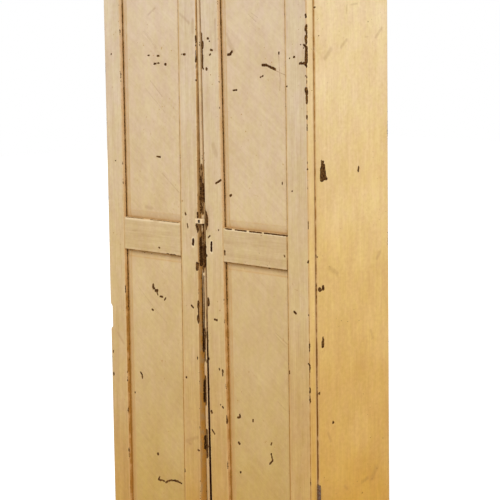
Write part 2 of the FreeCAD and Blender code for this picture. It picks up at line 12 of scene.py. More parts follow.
import bmesh
import bpy
import numpy as np
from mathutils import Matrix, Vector


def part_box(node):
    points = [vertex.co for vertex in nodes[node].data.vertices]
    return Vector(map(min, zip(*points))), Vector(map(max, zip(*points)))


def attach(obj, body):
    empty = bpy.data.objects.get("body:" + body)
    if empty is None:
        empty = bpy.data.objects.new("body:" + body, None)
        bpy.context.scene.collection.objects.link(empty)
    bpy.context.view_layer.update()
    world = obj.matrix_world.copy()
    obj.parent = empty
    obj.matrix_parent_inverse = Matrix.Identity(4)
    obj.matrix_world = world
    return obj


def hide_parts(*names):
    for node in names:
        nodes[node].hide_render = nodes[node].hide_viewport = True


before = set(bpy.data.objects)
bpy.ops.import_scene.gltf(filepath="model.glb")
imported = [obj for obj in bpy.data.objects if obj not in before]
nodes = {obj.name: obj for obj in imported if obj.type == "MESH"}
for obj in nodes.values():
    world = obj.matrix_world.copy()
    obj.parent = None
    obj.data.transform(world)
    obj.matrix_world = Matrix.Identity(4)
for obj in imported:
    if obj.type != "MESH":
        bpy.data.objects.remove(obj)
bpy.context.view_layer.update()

# %% [markdown]
# ## The camera
#
# The photograph was taken with a long lens, from the right of the cupboard and a little above its
# middle. Such a view can be set up by eye with an empty that the camera looks at, but the edges of a
# straight piece of furniture give it exactly. The angles below were worked out from those edges, so
# the camera gets its three directions as columns of one matrix.

# %% Camera
camera_place = Vector((3.6996, -3.2516, 1.5524))
camera_yaw = 0.84438
camera_dip = 0.12433
camera_roll = -0.01383
sensor_wide = 36
focal_in_pictures = 1872.21 / 500


def new_object(name, data):
    made = bpy.data.objects.new(name, data)
    bpy.context.scene.collection.objects.link(made)
    return made


def aim(yaw, dip, roll):
    """The camera's right, up and backward directions."""
    ahead = Vector((
        -math.sin(yaw) * math.cos(dip), math.cos(yaw) * math.cos(dip), -math.sin(dip)))
    level = Vector((math.cos(yaw), math.sin(yaw), 0))
    raised = level.cross(ahead)
    right = math.cos(roll) * level + math.sin(roll) * raised
    up = math.cos(roll) * raised - math.sin(roll) * level
    return right, up, -ahead


camera_data = bpy.data.cameras.new("camera")
camera_data.sensor_width = sensor_wide
camera_data.lens = focal_in_pictures * sensor_wide
camera = new_object("camera", camera_data)
bpy.context.scene.camera = camera
directions = aim(camera_yaw, camera_dip, camera_roll)
for column, direction in enumerate((*directions, camera_place)):
    for row in range(3):
        camera.matrix_world[row][column] = direction[row]
print("lens", round(camera_data.lens, 1), "mm")

# %% [markdown]
# ## Small helpers for materials
#
# A material made by hand is a web of nodes. Written in code, it reads better as sums: each helper
# here adds one node and hands back its output, so that a line says what is worked out from what.
# Colours are written as they look on a screen, from 0 to 255, and turned into light values. Old
# paint doesn't turn grey where it is darker. It turns brown, since its blue goes first, so a shade
# is made warm before a colour is multiplied by it.

# %% Sums of nodes


def add(tree, kind, inputs=None, **settings):
    """One node. An input is a number, a colour or the output of another node."""
    made = tree.nodes.new(kind)
    for name, value in settings.items():
        setattr(made, name, value)
    for key, value in (inputs or {}).items():
        if isinstance(value, bpy.types.NodeSocket):
            tree.links.new(value, made.inputs[key])
        else:
            made.inputs[key].default_value = value
    return made


def maths(tree, operation, *values):
    return add(tree, "ShaderNodeMath", dict(enumerate(values)), operation=operation).outputs[0]


def plus(tree, first, second):
    return maths(tree, "ADD", first, second)


def minus(tree, first, second):
    return maths(tree, "SUBTRACT", first, second)


def times(tree, first, second):
    return maths(tree, "MULTIPLY", first, second)


def most(tree, first, second):
    return maths(tree, "MAXIMUM", first, second)


def vectors(tree, operation, *values):
    node = add(tree, "ShaderNodeVectorMath", dict(enumerate(values)), operation=operation)
    return node.outputs["Value" if operation in ("LENGTH", "DOT_PRODUCT") else "Vector"]


def scaled(tree, vector, factor):
    inputs = {0: vector, "Scale": factor}
    return add(tree, "ShaderNodeVectorMath", inputs, operation="SCALE").outputs[0]


def vector_of(tree, x=0.0, y=0.0, z=0.0):
    return add(tree, "ShaderNodeCombineXYZ", {0: x, 1: y, 2: z}).outputs[0]


def height_of(tree, place):
    return add(tree, "ShaderNodeSeparateXYZ", {0: place}).outputs["Z"]


def between(tree, value, low, high, to_low=0.0, to_high=1.0, kind="SMOOTHSTEP"):
    """The value's way from low to high, eased at both ends unless kind is LINEAR."""
    ranges = {0: value, 1: low, 2: high, 3: to_low, 4: to_high}
    return add(tree, "ShaderNodeMapRange", ranges, interpolation_type=kind).outputs[0]


print("helpers for sums ready")

# %% Colours and noise
shade_leaning = (0.72, 1.0, 1.35)
screen_knee = 0.04045


def tint(red, green, blue):
    """A screen colour as light, by the rule of the sRGB standard."""
    light = []
    for part in (red / 255, green / 255, blue / 255):
        light.append(part / 12.92 if part <= screen_knee else ((part + 0.055) / 1.055) ** 2.4)
    return (*light, 1.0)


def mix(tree, share, first, second, blend="MIX"):
    inputs = {0: share, 6: first, 7: second}
    node = add(
        tree, "ShaderNodeMix", inputs, data_type="RGBA", blend_type=blend, clamp_factor=True)
    return node.outputs[2]


def warm_shade(tree, shade):
    """A shade to multiply a colour by, in which dark goes brown and pale goes creamy."""
    change = minus(tree, shade, 1.0)
    change = vector_of(tree, change, change, change)
    return vectors(tree, "MULTIPLY_ADD", change, shade_leaning, (1, 1, 1))


def noise(tree, place, scale, detail=3.0, roughness=0.55, distortion=0.0):
    """Noise around a half. The scale says about how many lumps lie along one metre."""
    inputs = {
        "Vector": place, "Scale": scale, "Detail": detail, "Roughness": roughness,
        "Distortion": distortion}
    return add(tree, "ShaderNodeTexNoise", inputs).outputs[0]


def attribute(tree, name):
    """A number that the mesh carries on its points."""
    return add(tree, "ShaderNodeAttribute", attribute_name=name).outputs["Fac"]


print("a screen grey of 128 is", round(tint(128, 128, 128)[0], 3), "as light")

# %% Groups and materials
origin = (0.0, 0.0, 0.0)
white = (1.0, 1.0, 1.0, 1.0)


def socket(tree, name, kind, way="INPUT"):
    return tree.interface.new_socket(name=name, in_out=way, socket_type="NodeSocket" + kind)


def new_group(name, inputs, *outputs):
    """An empty shader group. The default value of an input says what kind its socket is."""
    group = bpy.data.node_groups.new(name, "ShaderNodeTree")
    for label, default in inputs.items():
        size = len(default) if isinstance(default, tuple) else 1
        made = socket(group, label, {1: "Float", 3: "Vector", 4: "Color"}[size])
        made.default_value = default
    for label in outputs:
        socket(group, label, "Color" if label == "Colour" else "Float", "OUTPUT")
    entry = group.nodes.new("NodeGroupInput").outputs
    return group, entry, group.nodes.new("NodeGroupOutput")


def place_group(tree, group, **inputs):
    """One use of a group. Spaces in socket names are written as underscores."""
    named_inputs = {name.replace("_", " "): value for name, value in inputs.items()}
    return add(tree, "ShaderNodeGroup", named_inputs, node_tree=group).outputs


def say_size(*trees):
    for tree in trees:
        print(tree.name, "is a web of", len(tree.nodes), "nodes")


def new_material(name):
    """A material with its tree, its shader and the place of a surface point."""
    material = bpy.data.materials.new(name)
    material.use_nodes = True
    tree = material.node_tree
    place = add(tree, "ShaderNodeTexCoord").outputs["Object"]
    return material, tree, tree.nodes["Principled BSDF"], place


def give(tree, node, **sources):
    """Links outputs to a node. Spaces in input names are written as underscores."""
    for name, source in sources.items():
        tree.links.new(source, node.inputs[name.replace("_", " ")])


def give_relief(tree, shader, height, strength):
    """Light and shade of small heights, which are in metres."""
    bump = add(tree, "ShaderNodeBump", {"Height": height, "Strength": strength, "Distance": 1.0})
    give(tree, shader, Normal=bump.outputs[0])


print("a group has sockets with names, and white is", white)

# %% [markdown]
# ## Brush marks
#
# Oil paint put on with a stiff brush dries in fine ridges that follow the stroke, and a painter
# follows the grain: up and down on a stile, across on a rail, and here slantwise on the panels,
# where old cleaning left its streaks too. Noise that is squeezed across the stroke and stretched
# along it gives such ridges.

# %% Group for brush marks
group, entry, leave = new_group(
    "brush marks", {"Place": origin, "Tilt": 0.0, "Across": 500.0, "Along": 14.0}, "Marks")
turned = add(
    group, "ShaderNodeVectorRotate", {"Vector": entry["Place"], "Angle": entry["Tilt"]},
    rotation_type="Y_AXIS").outputs[0]
stretch = vector_of(group, entry["Across"], entry["Across"], entry["Along"])
stretched = vectors(group, "MULTIPLY", turned, stretch)
give(group, leave, Marks=noise(group, stretched, 1.0, detail=4.0, roughness=0.6))
brush_marks = group
say_size(group)

# %% [markdown]
# ## Age and height
#
# Cream paint yellows, and it yellows most near the floor, where hands, feet and smoke have darkened
# it. The colour therefore follows the height above the floor, and large soft noise keeps the change
# from being even. The group mixes three colours, for the head, the middle and the foot.

# %% Group for the colour by height
head_height = 1.62
middle_height = 0.95
foot_height = 0.18
cloud_scale = 5.0

group, entry, leave = new_group(
    "age by height",
    {"Place": origin, "Head": white, "Middle": white, "Foot": white, "Patchiness": 0.5},
    "Colour")
cloud = noise(group, entry["Place"], cloud_scale)
drift = times(group, minus(group, cloud, 0.5), entry["Patchiness"])
height = plus(group, height_of(group, entry["Place"]), drift)
upper = between(group, height, middle_height, head_height, kind="LINEAR")
lower = between(group, height, foot_height, middle_height, kind="LINEAR")
colour = mix(group, lower, entry["Foot"], mix(group, upper, entry["Middle"], entry["Head"]))
give(group, leave, Colour=colour)
age_by_height = group
say_size(group)

# %% [markdown]
# ## Chips
#
# Where paint has flaked off, its edge is ragged and the wood below is dark with dirt. The meshes
# carry two numbers per point: how near it is to an arris, and how deep it lies in a place where the
# paint is known to be gone. The same number also marks gaps, holes and corners that are painted
# dark as shade. Fine noise breaks the edge of both, and coarse noise gathers the wear of an arris in
# some places. The group puts out the mask, the height of the paint film, which steps down at a chip,
# and how much an arris is rubbed.

# %% Group for chips
chip_scale = 260.0
cluster_scale = 24.0
raggedness_gain = 1.6
chip_edge = (0.34, 0.42)
film_edge = (0.28, 0.40)
worn_clusters = (0.42, 0.68)
rubbed_clusters = (0.35, 0.6)

group, entry, leave = new_group(
    "chipped paint",
    {"Place": origin, "Chips": 0.0, "Arris": 0.0, "Arris Wear": 0.5, "Ragged": 0.55},
    "Mask", "Film", "Rub")
fine = noise(group, entry["Place"], chip_scale, detail=5.0, roughness=0.65)
coarse = noise(group, entry["Place"], cluster_scale, roughness=0.6)
worn = times(group, entry["Arris"], entry["Arris Wear"])
worn = times(group, worn, between(group, coarse, *worn_clusters))
ragged = times(group, minus(group, fine, 0.5), entry["Ragged"])
depth = plus(
    group, most(group, entry["Chips"], worn), times(group, ragged, raggedness_gain))
film = minus(group, 1.0, between(group, depth, *film_edge))
rub = times(group, entry["Arris"], between(group, coarse, *rubbed_clusters))
give(group, leave, Mask=between(group, depth, *chip_edge), Film=film, Rub=rub)
chipped_paint = group
say_size(group)

# %% [markdown]
# ## Dirt and painted shade in corners
#
# Dirt stays where a cloth doesn't reach: along the feet of the panels, in the gaps between the
# doors, beside the joints. The same darkening also stands for the shade that falls in those corners,
# gaps and recesses, so it is partly painted shade. The mesh says how deep in a corner each point is,
# and noise makes the line of dirt and shade swell and thin out. A thin layer is tan and a thick one
# brown, which fades to olive high up, and flecks of the thickest are black. Low down the black is
# rarer. The group also lays on soft stains, which the mesh marks, and a few specks that only noise
# places.

# %% Group for dirt and painted shade
# These colours serve both dirt and the painted shade of corners, gaps and recesses.
grime_and_shade_black = tint(62, 34, 4)
grime_and_shade_brown = tint(180, 134, 66)
grime_and_shade_tan = tint(202, 160, 104)
olive_brown = tint(156, 122, 76)
stain_brown = tint(146, 98, 60)
stain_strength = 0.24
thin_darkening = (0.0, 0.55)
thick_darkening = (0.45, 0.95)
olive_heights = (0.6, 1.3)
olive_share = 0.8
crust_edge = (1.66, 1.84)
fewer_crusts = (0.35, 0.85, 0.25, 0.0)


def specks(group, place):
    """Small round specks that lie close together in some places."""
    dots = between(group, noise(group, place, 130.0, detail=2.0, roughness=0.5), 0.70, 0.745)
    where = between(group, noise(group, place, 9.0, detail=2.0, roughness=0.5), 0.48, 0.62)
    return times(group, dots, where)


group, entry, leave = new_group(
    "corner grime",
    {"Place": origin, "Colour": white, "Grime": 0.0, "Stain": 0.0, "Brown": grime_and_shade_brown,
     "High Brown": olive_brown},
    "Colour", "Mask")
place = entry["Place"]
height = height_of(group, place)
swelling = noise(group, place, 45.0, detail=4.0, roughness=0.6)
swelling = between(group, swelling, 0.3, 0.7, 0.6, 1.3, kind="LINEAR")
mask = maths(group, "MINIMUM", times(group, entry["Grime"], swelling), 1.0)

stain = times(group, times(group, entry["Stain"], entry["Stain"]), stain_strength)
colour = mix(group, stain, entry["Colour"], stain_brown)
colour = mix(group, specks(group, place), colour, entry["Brown"])
colour = mix(group, between(group, mask, *thin_darkening, kind="LINEAR"), colour, grime_and_shade_tan)
olive = between(group, height, *olive_heights, 0.0, olive_share)
brown = mix(group, olive, entry["Brown"], entry["High Brown"])
colour = mix(group, between(group, mask, *thick_darkening), colour, brown)

flecks = noise(group, place, 170.0, detail=4.0, roughness=0.7)
crust = plus(group, mask, times(group, flecks, 1.4))
crust = minus(group, crust, between(group, height, *fewer_crusts))
colour = mix(group, between(group, crust, *crust_edge), colour, grime_and_shade_black)
give(group, leave, Colour=colour, Mask=mask)
corner_grime_and_shade = group
say_size(group)

# %% [markdown]
# ## Mottling
#
# Old oil paint is never one colour. Hands, lamp smoke and sunlight leave soft clouds, some pinker
# and some yellower, that run up and down more than across. Noises of different size make them: one
# turns the colour and two its depth. The thin lines of a scratch are a group as well, which measures
# how far each point of the surface lies from the line between two others.

# %% Groups for mottling and scratches
pinker = tint(255, 251, 248)
yellower = tint(255, 254, 240)
drawn_up = (1.0, 1.0, 0.5)
scratch_breaks = (0.3, 0.55)

group, entry, leave = new_group(
    "mottling", {"Place": origin, "Colour": white, "Amount": 0.1}, "Colour")
tall = vectors(group, "MULTIPLY", entry["Place"], drawn_up)
hue = between(group, noise(group, tall, 42.0, detail=4.0, roughness=0.6), 0.38, 0.62)
turned = mix(group, 1.0, entry["Colour"], mix(group, hue, pinker, yellower), "MULTIPLY")
cloud = plus(group, noise(group, tall, 16.0, roughness=0.5),
             noise(group, entry["Place"], 95.0, roughness=0.6))
low, high = minus(group, 1.0, entry["Amount"]), plus(group, 1.0, entry["Amount"])
depth = between(group, cloud, 0.75, 1.25, low, high, kind="LINEAR")
give(group, leave, Colour=mix(group, 1.0, turned, warm_shade(group, depth), "MULTIPLY"))
mottling = group

group, entry, leave = new_group(
    "scratch", {"Place": origin, "From": origin, "To": origin, "Width": 0.001}, "Mask")
run = vectors(group, "SUBTRACT", entry["To"], entry["From"])
offset = vectors(group, "SUBTRACT", entry["Place"], entry["From"])
offset = vectors(group, "MULTIPLY", offset, (1.0, 0.0, 1.0))
share = maths(group, "DIVIDE", vectors(group, "DOT_PRODUCT", offset, run),
              vectors(group, "DOT_PRODUCT", run, run))
share = maths(group, "MINIMUM", most(group, share, 0.0), 1.0)
beside = vectors(group, "SUBTRACT", offset, scaled(group, run, share))
distance = vectors(group, "LENGTH", beside)
half = times(group, entry["Width"], 0.5)
near = minus(group, 1.0, between(group, distance, times(group, half, 0.4), half))
broken = noise(group, entry["Place"], 220.0, roughness=0.7)
broken = between(group, broken, *scratch_breaks)
give(group, leave, Mask=times(group, near, broken))
scratch = group
say_size(mottling, scratch)

# %% [markdown]
# ## Pine
#
# Planed pine shows long straight lines of dark late wood between broad pale bands. Noise stretched
# along the board gives the bands, and a finer one the pores. The group serves the bare boards
# inside, and the wood that shows on the backs of the doors.

# %% Group for pine
rings_per_band = 9.0
late_wood = (0.55, 0.97)
pore_streaks = (0.35, 0.75)


def squeezed(group, entry, across, along):
    """The place, squeezed across the grain and along it."""
    narrow = vectors(group, "SUBTRACT", (1, 1, 1), entry["Grain"])
    narrow = scaled(group, narrow, across)
    wide = scaled(group, entry["Grain"], along)
    return vectors(group, "MULTIPLY", entry["Place"], vectors(group, "ADD", narrow, wide))


group, entry, leave = new_group(
    "pine", {"Place": origin, "Grain": (0, 0, 1), "Pale": white, "Dark": white},
    "Colour", "Height")
broad = noise(group, squeezed(group, entry, 22.0, 1.1), 1.0, detail=2.0, roughness=0.5,
              distortion=0.4)
rings = maths(group, "FRACT", times(group, broad, rings_per_band))
late = between(group, rings, *late_wood)
fine = noise(group, squeezed(group, entry, 420.0, 9.0), 1.0, roughness=0.6)
streaks = between(group, fine, *pore_streaks)
share = plus(group, times(group, late, 0.55), times(group, streaks, 0.35))
give(group, leave, Colour=mix(group, share, entry["Pale"], entry["Dark"]),
     Height=plus(group, times(group, late, 0.6), streaks))
pine = group
say_size(group)

# %% [markdown]
# ## Old paint
#
# The paint on the doors and on the case is one idea with other numbers, so one function makes both.
# It starts with the colour by height, lays the brush marks and the clouds over it, draws scratches,
# rubs the arrises pale, which on the rails is partly painted highlight, adds the dirt and painted
# shade, and last takes the paint off where it is chipped. The mesh says the rest: faces that were
# never painted show pine, an edge that looks to the side can have colours, dirt and painted shade of
# its own, which on a hinge edge facing the light is partly painted light, and in gaps, holes and the
# corners of panels a chip is nearly black, which is painted shade.

# %% Painted wood
chip_brown = tint(120, 82, 36)
chip_black = tint(58, 28, 2)
# The next black is painted shade, and the cream after it is rubbed paint that on the rails is partly
# painted highlight.
gap_shade_black = tint(46, 10, 0)
rub_and_highlight_cream = tint(244, 222, 182)
inside_pale = tint(196, 156, 106)
inside_dark = tint(150, 104, 60)
paint_shine = 0.12
dull_gain = 0.3
ridge_height = 0.00025
film_height = 0.0004
grain_height = 0.0003
paint_strength = 0.6
rub_heights = (0.4, 1.2)
low_rub_share = 0.3
pale_strength = 0.75
millimetre = 0.001
upright = 0.0
crosswise = math.radians(90)
slantwise = math.radians(57)


def by_height(tree, place, colours, patch):
    head, middle, foot = colours
    return place_group(
        tree, age_by_height, Place=place, Head=head, Middle=middle, Foot=foot,
        Patchiness=patch)["Colour"]


def scratched(tree, place, colour, scratches):
    """Thin brown lines. Places and widths are in millimetres, in the plane of the doors."""
    for x, z, end_x, end_z, width, darkness in scratches:
        line = place_group(
            tree, scratch, Place=place, From=(x * millimetre, 0, z * millimetre),
            To=(end_x * millimetre, 0, end_z * millimetre), Width=width * millimetre)["Mask"]
        colour = mix(tree, times(tree, line, darkness), colour, stain_brown)
    return colour


def old_paint(
        name, colours, tilt, stroke=0.16, wear=0.5, rub=0.35, patch=0.5, clouds=0.07,
        scratches=(), edge=None, dirt_and_shade=grime_and_shade_brown, high_dirt_and_shade=olive_brown, edge_dirt_and_shade=None):
    """Painted wood. tilt turns the brush marks, from upright, in the plane of the doors."""
    material, tree, shader, place = new_material(name)
    colour = by_height(tree, place, colours, patch)
    if edge:
        colour = mix(tree, attribute(tree, "edge"), colour, by_height(tree, place, edge, patch))
    fine = place_group(tree, brush_marks, Place=place, Tilt=tilt)["Marks"]
    broad = place_group(
        tree, brush_marks, Place=place, Tilt=tilt, Across=90.0, Along=5.0)["Marks"]
    strokes = plus(tree, times(tree, fine, 0.5), times(tree, broad, 0.5))
    shade = between(tree, strokes, 0.3, 0.7, 1.0 - stroke, 1.0 + stroke, kind="LINEAR")
    colour = mix(tree, 1.0, colour, warm_shade(tree, shade), "MULTIPLY")
    colour = place_group(tree, mottling, Place=place, Colour=colour, Amount=clouds)["Colour"]
    colour = scratched(tree, place, colour, scratches)

    chips = place_group(
        tree, chipped_paint, Place=place, Chips=attribute(tree, "chips"),
        Arris=attribute(tree, "arris"), Arris_Wear=wear)
    # Rubbed arrises and the pale marks go cream; on the rails this is partly painted highlight.
    rub_here = between(
        tree, height_of(tree, place), *rub_heights, low_rub_share * rub, rub, kind="LINEAR")
    rubbed_and_lit = most(tree, times(tree, chips["Rub"], rub_here),
                  times(tree, attribute(tree, "pale"), pale_strength))
    colour = mix(tree, rubbed_and_lit, colour, rub_and_highlight_cream)
    if edge_dirt_and_shade:
        dirt_and_shade = mix(tree, attribute(tree, "edge"), dirt_and_shade, edge_dirt_and_shade)
    # The grime attribute holds dirt and the painted shade of corners, gaps and recesses.
    dirty = place_group(
        tree, corner_grime_and_shade, Place=place, Colour=colour, Grime=attribute(tree, "grime"),
        Stain=attribute(tree, "stain"), Brown=dirt_and_shade, High_Brown=high_dirt_and_shade)

    wood = place_group(
        tree, pine, Place=place, Grain=(1, 0, 0) if tilt == crosswise else (0, 0, 1),
        Pale=inside_pale, Dark=inside_dark)
    ragged = times(tree, minus(tree, broad, 0.5), 0.8)
    bare = between(tree, plus(tree, attribute(tree, "bare"), ragged), 0.45, 0.55)
    colour = mix(tree, bare, dirty["Colour"], wood["Colour"])

    flecks = noise(tree, place, 180.0, detail=4.0, roughness=0.7)
    chip_colour = mix(tree, between(tree, flecks, 0.4, 0.65), chip_black, chip_brown)
    # Chips that the mesh marks black, in gaps, holes and corners, go nearly black as painted shade.
    chip_colour = mix(tree, attribute(tree, "black"), chip_colour, gap_shade_black)
    chipped = times(tree, chips["Mask"], minus(tree, 1.0, bare))
    colour = mix(tree, chipped, colour, chip_colour)

    gloss = between(tree, strokes, 0.3, 0.7, 0.44, 0.60, kind="LINEAR")
    dull = most(tree, most(tree, chipped, bare), dirty["Mask"])
    roughness = plus(tree, gloss, times(tree, dull, dull_gain))
    give(tree, shader, Base_Color=colour, Roughness=roughness)
    shader.inputs["Specular IOR Level"].default_value = paint_shine

    ridges = times(tree, strokes, ridge_height)
    film = times(tree, chips["Film"], film_height)
    grain = times(tree, times(tree, wood["Height"], bare), grain_height)
    give_relief(tree, shader, plus(tree, plus(tree, ridges, film), grain), paint_strength)
    print(name, "is a web of", len(tree.nodes), "nodes")
    return material


print("brush marks on the panels lean by", round(math.degrees(slantwise)), "degrees")

# %% The paints of the cupboard
stile_colours = (tint(221, 201, 177), tint(212, 185, 142), tint(193, 150, 79))
rail_colours = (tint(216, 196, 168), tint(207, 180, 137), tint(188, 147, 77))
panel_colours = (tint(222, 200, 174), tint(214, 187, 145), tint(192, 157, 88))
strip_colours = (tint(216, 188, 150), tint(206, 174, 132), tint(192, 152, 100))
case_colours = (tint(245, 221, 180), tint(231, 195, 130), tint(204, 152, 58))
button_colours = (tint(236, 212, 174), tint(232, 206, 164), tint(210, 170, 110))
# The dirt colour of the stiles also colours the painted shade in their corners and gaps.
stile_dirt_and_shade = tint(166, 118, 50)

# Each row is a start and an end, across and up in millimetres, the width and how dark it is
panel_scratches = (
    # The left upper panel
    (-241, 1517, -187, 1470, 3, 0.30), (-235, 1517, -181, 1470, 3, 0.22),
    (-215, 1385, -166, 1344, 4, 0.28), (-237, 1364, -155, 1302, 4, 0.20),
    (-172, 1140, -103, 1093, 4, 0.28),
    # The right upper panel
    (180, 1558, 210, 1538, 3, 0.30), (191, 1560, 217, 1548, 3, 0.25),
    # The right lower panel
    (269, 761, 313, 736, 4, 0.30), (262, 757, 306, 730, 4, 0.22), (273, 586, 303, 567, 3, 0.28),
    # The left lower panel
    (-281, 820, -214, 770, 3, 0.28), (-214, 770, -164, 737, 3, 0.25),
    # The long ones of the right upper panel
    (277, 1419, 315, 1407, 3, 0.55), (291, 1464, 294, 1418, 2, 0.80),
    (294, 1418, 296, 1398, 2, 0.80), (296, 1398, 294, 1369, 2, 0.70))

# Edges that the mesh marks take the case's colours, which on a hinge edge facing the light are
# partly painted light.
stile_paint = old_paint(
    "stile paint", stile_colours, upright, edge=case_colours, dirt_and_shade=stile_dirt_and_shade)
meeting_paint = old_paint(
    "meeting stile paint", stile_colours, upright, edge=case_colours, dirt_and_shade=stile_dirt_and_shade,
    edge_dirt_and_shade=tint(216, 152, 66))
button_paint = old_paint("button paint", button_colours, crosswise)
# The rails rub more: worn paint, and partly a painted highlight along their tops. Their dirt colour
# also colours painted shade in their corners.
rail_paint = old_paint(
    "rail paint", rail_colours, crosswise, rub=0.6, dirt_and_shade=tint(150, 116, 74),
    high_dirt_and_shade=tint(150, 124, 96))
panel_paint = old_paint(
    "panel paint", panel_colours, slantwise, stroke=0.08, scratches=panel_scratches)
# The case's dirt colour also colours the painted shade of the gap beside the doors.
case_paint = old_paint(
    "case paint", case_colours, upright, stroke=0.10, clouds=0.09, dirt_and_shade=tint(116, 70, 8),
    high_dirt_and_shade=tint(190, 138, 68))
case_level_paint = old_paint("case paint across", stile_colours, crosswise, stroke=0.10)
# The strip's dirt colour also colours the painted shade in the gaps beside it.
strip_paint = old_paint("strip paint", strip_colours, upright, dirt_and_shade=tint(124, 88, 56))

# %% [markdown]
# ## Bare wood, iron and steel
#
# The boards inside were never painted. The hinges and locks are dull iron, brown with thin rust in
# places, and the screws and nails are darker and smoother. Metal is told apart from wood by its
# Metallic value, and rust takes that value away again where it lies. The five boards of the back
# came from different trees, so each has a pine of its own, with its grain moved and its own age.

# %% Plain materials
pine_relief = 0.0003
metal_relief = 0.0004
plain_strength = 0.5


def bare_pine(name, grain, shift=0.0, weathered=0.0):
    """Pine without paint. shift moves the grain, so that boards side by side differ."""
    material, tree, shader, place = new_material(name)
    place = vectors(tree, "ADD", place, (shift, shift, shift))
    wood = place_group(
        tree, pine, Place=place, Grain=grain, Pale=inside_pale, Dark=inside_dark)
    cloud = noise(tree, place, 6.0, detail=4.0, roughness=0.6)
    aged = mix(tree, weathered, wood["Colour"], stain_brown)
    stained = mix(tree, between(tree, cloud, 0.4, 0.75, 0.0, 0.5), aged, grime_and_shade_brown)
    give(tree, shader, Base_Color=stained, Roughness=between(tree, cloud, 0.3, 0.7, 0.62, 0.8))
    give_relief(tree, shader, times(tree, wood["Height"], pine_relief), plain_strength)
    print(name, "is a web of", len(tree.nodes), "nodes")
    return material


def old_metal(name, bright, rust, rust_share, smooth):
    """Metal with blotches of rust. smooth is the roughness where there is none."""
    material, tree, shader, place = new_material(name)
    blotch = noise(tree, place, 160.0, detail=5.0, roughness=0.65)
    rusted = between(tree, blotch, 0.62 - rust_share, 0.80 - rust_share)
    give(tree, shader, Base_Color=mix(tree, rusted, bright, rust),
         Metallic=between(tree, rusted, 0.0, 1.0, 0.85, 0.1, kind="LINEAR"),
         Roughness=between(tree, rusted, 0.0, 1.0, smooth, 0.85, kind="LINEAR"))
    give_relief(tree, shader, times(tree, blotch, metal_relief), plain_strength)
    print(name, "is a web of", len(tree.nodes), "nodes")
    return material


pine_upright = bare_pine("bare pine upright", (0, 0, 1))
pine_level = bare_pine("bare pine across", (1, 0, 0))
back_ages = (0.10, 0.26, 0.02, 0.20, 0.12)
back_pines = [
    bare_pine("back board pine %d" % number, (0, 0, 1), 0.731 * number, age)
    for number, age in enumerate(back_ages, 1)]
hinge_iron = old_metal("hinge iron", tint(120, 104, 88), tint(98, 62, 38), 0.22, 0.45)
lock_iron = old_metal("lock iron", tint(96, 90, 84), tint(84, 52, 34), 0.12, 0.4)
screw_steel = old_metal("screw steel", tint(84, 70, 56), tint(60, 38, 24), 0.16, 0.5)

# %% [markdown]
# ## Boards with worn arrises
#
# A sawn board is a box, and a box looks like plastic: its arrises are too sharp and its faces too
# even. It could be bevelled with a modifier, but wear needs points all over its faces. So a board is
# made as a section with rounded corners, which is repeated along the board in close steps. Each
# point knows how near it is to an arris. Small smooth noise then moves it by parts of a millimetre.

# %% Smooth noise on points
seed_shift = 7.31
spin_shares = np.array([127.1, 311.7, 74.7])
spin_gain = 43758.5453


def lumps(points, size, seed):
    """Smooth noise from -1 to 1, in lumps of a given size in metres."""
    counted = points / size + seed * seed_shift
    cell = np.floor(counted)
    part = counted - cell
    ease = part * part * (3 - 2 * part)
    total = np.zeros(len(points))
    for corner in range(8):
        step = np.array([corner & 1, corner >> 1 & 1, corner >> 2 & 1])
        spin = (cell + step) @ spin_shares
        value = np.modf(np.abs(np.sin(spin) * spin_gain))[0]
        total += value * np.prod(np.where(step, ease, 1 - ease), axis=1)
    return total * 2 - 1


print("smooth noise at one point:", lumps(np.ones((1, 3)), 0.1, 1).round(3))

# %% Sections
blunt_turn = math.radians(28)


def steps(length, cell, stops=()):
    """Distances from 0 to a length in steps of about one cell, with some that have to be there."""
    marks = sorted({0.0, length, *[stop for stop in stops if 0 < stop < length]})
    found = []
    for low, high in zip(marks, marks[1:]):
        count = max(1, round((high - low) / cell))
        found += [low + (high - low) * index / count for index in range(count)]
    return found + [length]


def round_section(corners, radius, cells, stops=()):
    """Points round a section, their outward directions and the number of their side.

    corners go round the section, and cells holds one step size for the side after each corner.
    stops are distances along the first side that need a point. Corners that stand out and turn
    by more than blunt_turn get three points on an arc, and the others stay as they are."""
    count = len(corners)
    corners = np.array(corners, float)
    runs = np.roll(corners, -1, axis=0) - corners
    spans = np.linalg.norm(runs, axis=1)
    runs = runs / spans[:, None]
    faces = np.stack([runs[:, 1], -runs[:, 0]], axis=1)
    turns = []
    for index in range(count):
        before, after = runs[index - 1], runs[index]
        turns.append(math.atan2(
            before[0] * after[1] - before[1] * after[0], float(before @ after)))
    cut = [radius * math.tan(turn / 2) if turn > blunt_turn else 0.0 for turn in turns]
    found = []
    for index in range(count):
        here, normal_in, normal_out = corners[index], faces[index - 1], faces[index]
        bisector = normal_in + normal_out
        bisector = bisector / np.linalg.norm(bisector)
        if cut[index]:
            centre = here - bisector * radius / math.cos(turns[index] / 2)
            for out in (normal_in, bisector, normal_out):
                found.append((centre + radius * out, out, index))
        else:
            found.append((here, bisector, index))
        start, stop = cut[index], spans[index] - cut[(index + 1) % count]
        wanted = [start + radius / 2, stop - radius / 2]
        if index == 0:
            wanted += list(stops)
        inner = [mark - start for mark in wanted if start < mark < stop]
        for distance in steps(stop - start, cells[index], inner)[1:-1]:
            found.append((here + runs[index] * (start + distance), normal_out, index))
    return [np.array(column) for column in zip(*found)]


example = round_section([(0, 0), (0.07, 0), (0.07, 0.024), (0, 0.024)], 0.0013, [0.01] * 4)
print("the section of a stile, with wide steps, has", len(example[0]), "points")

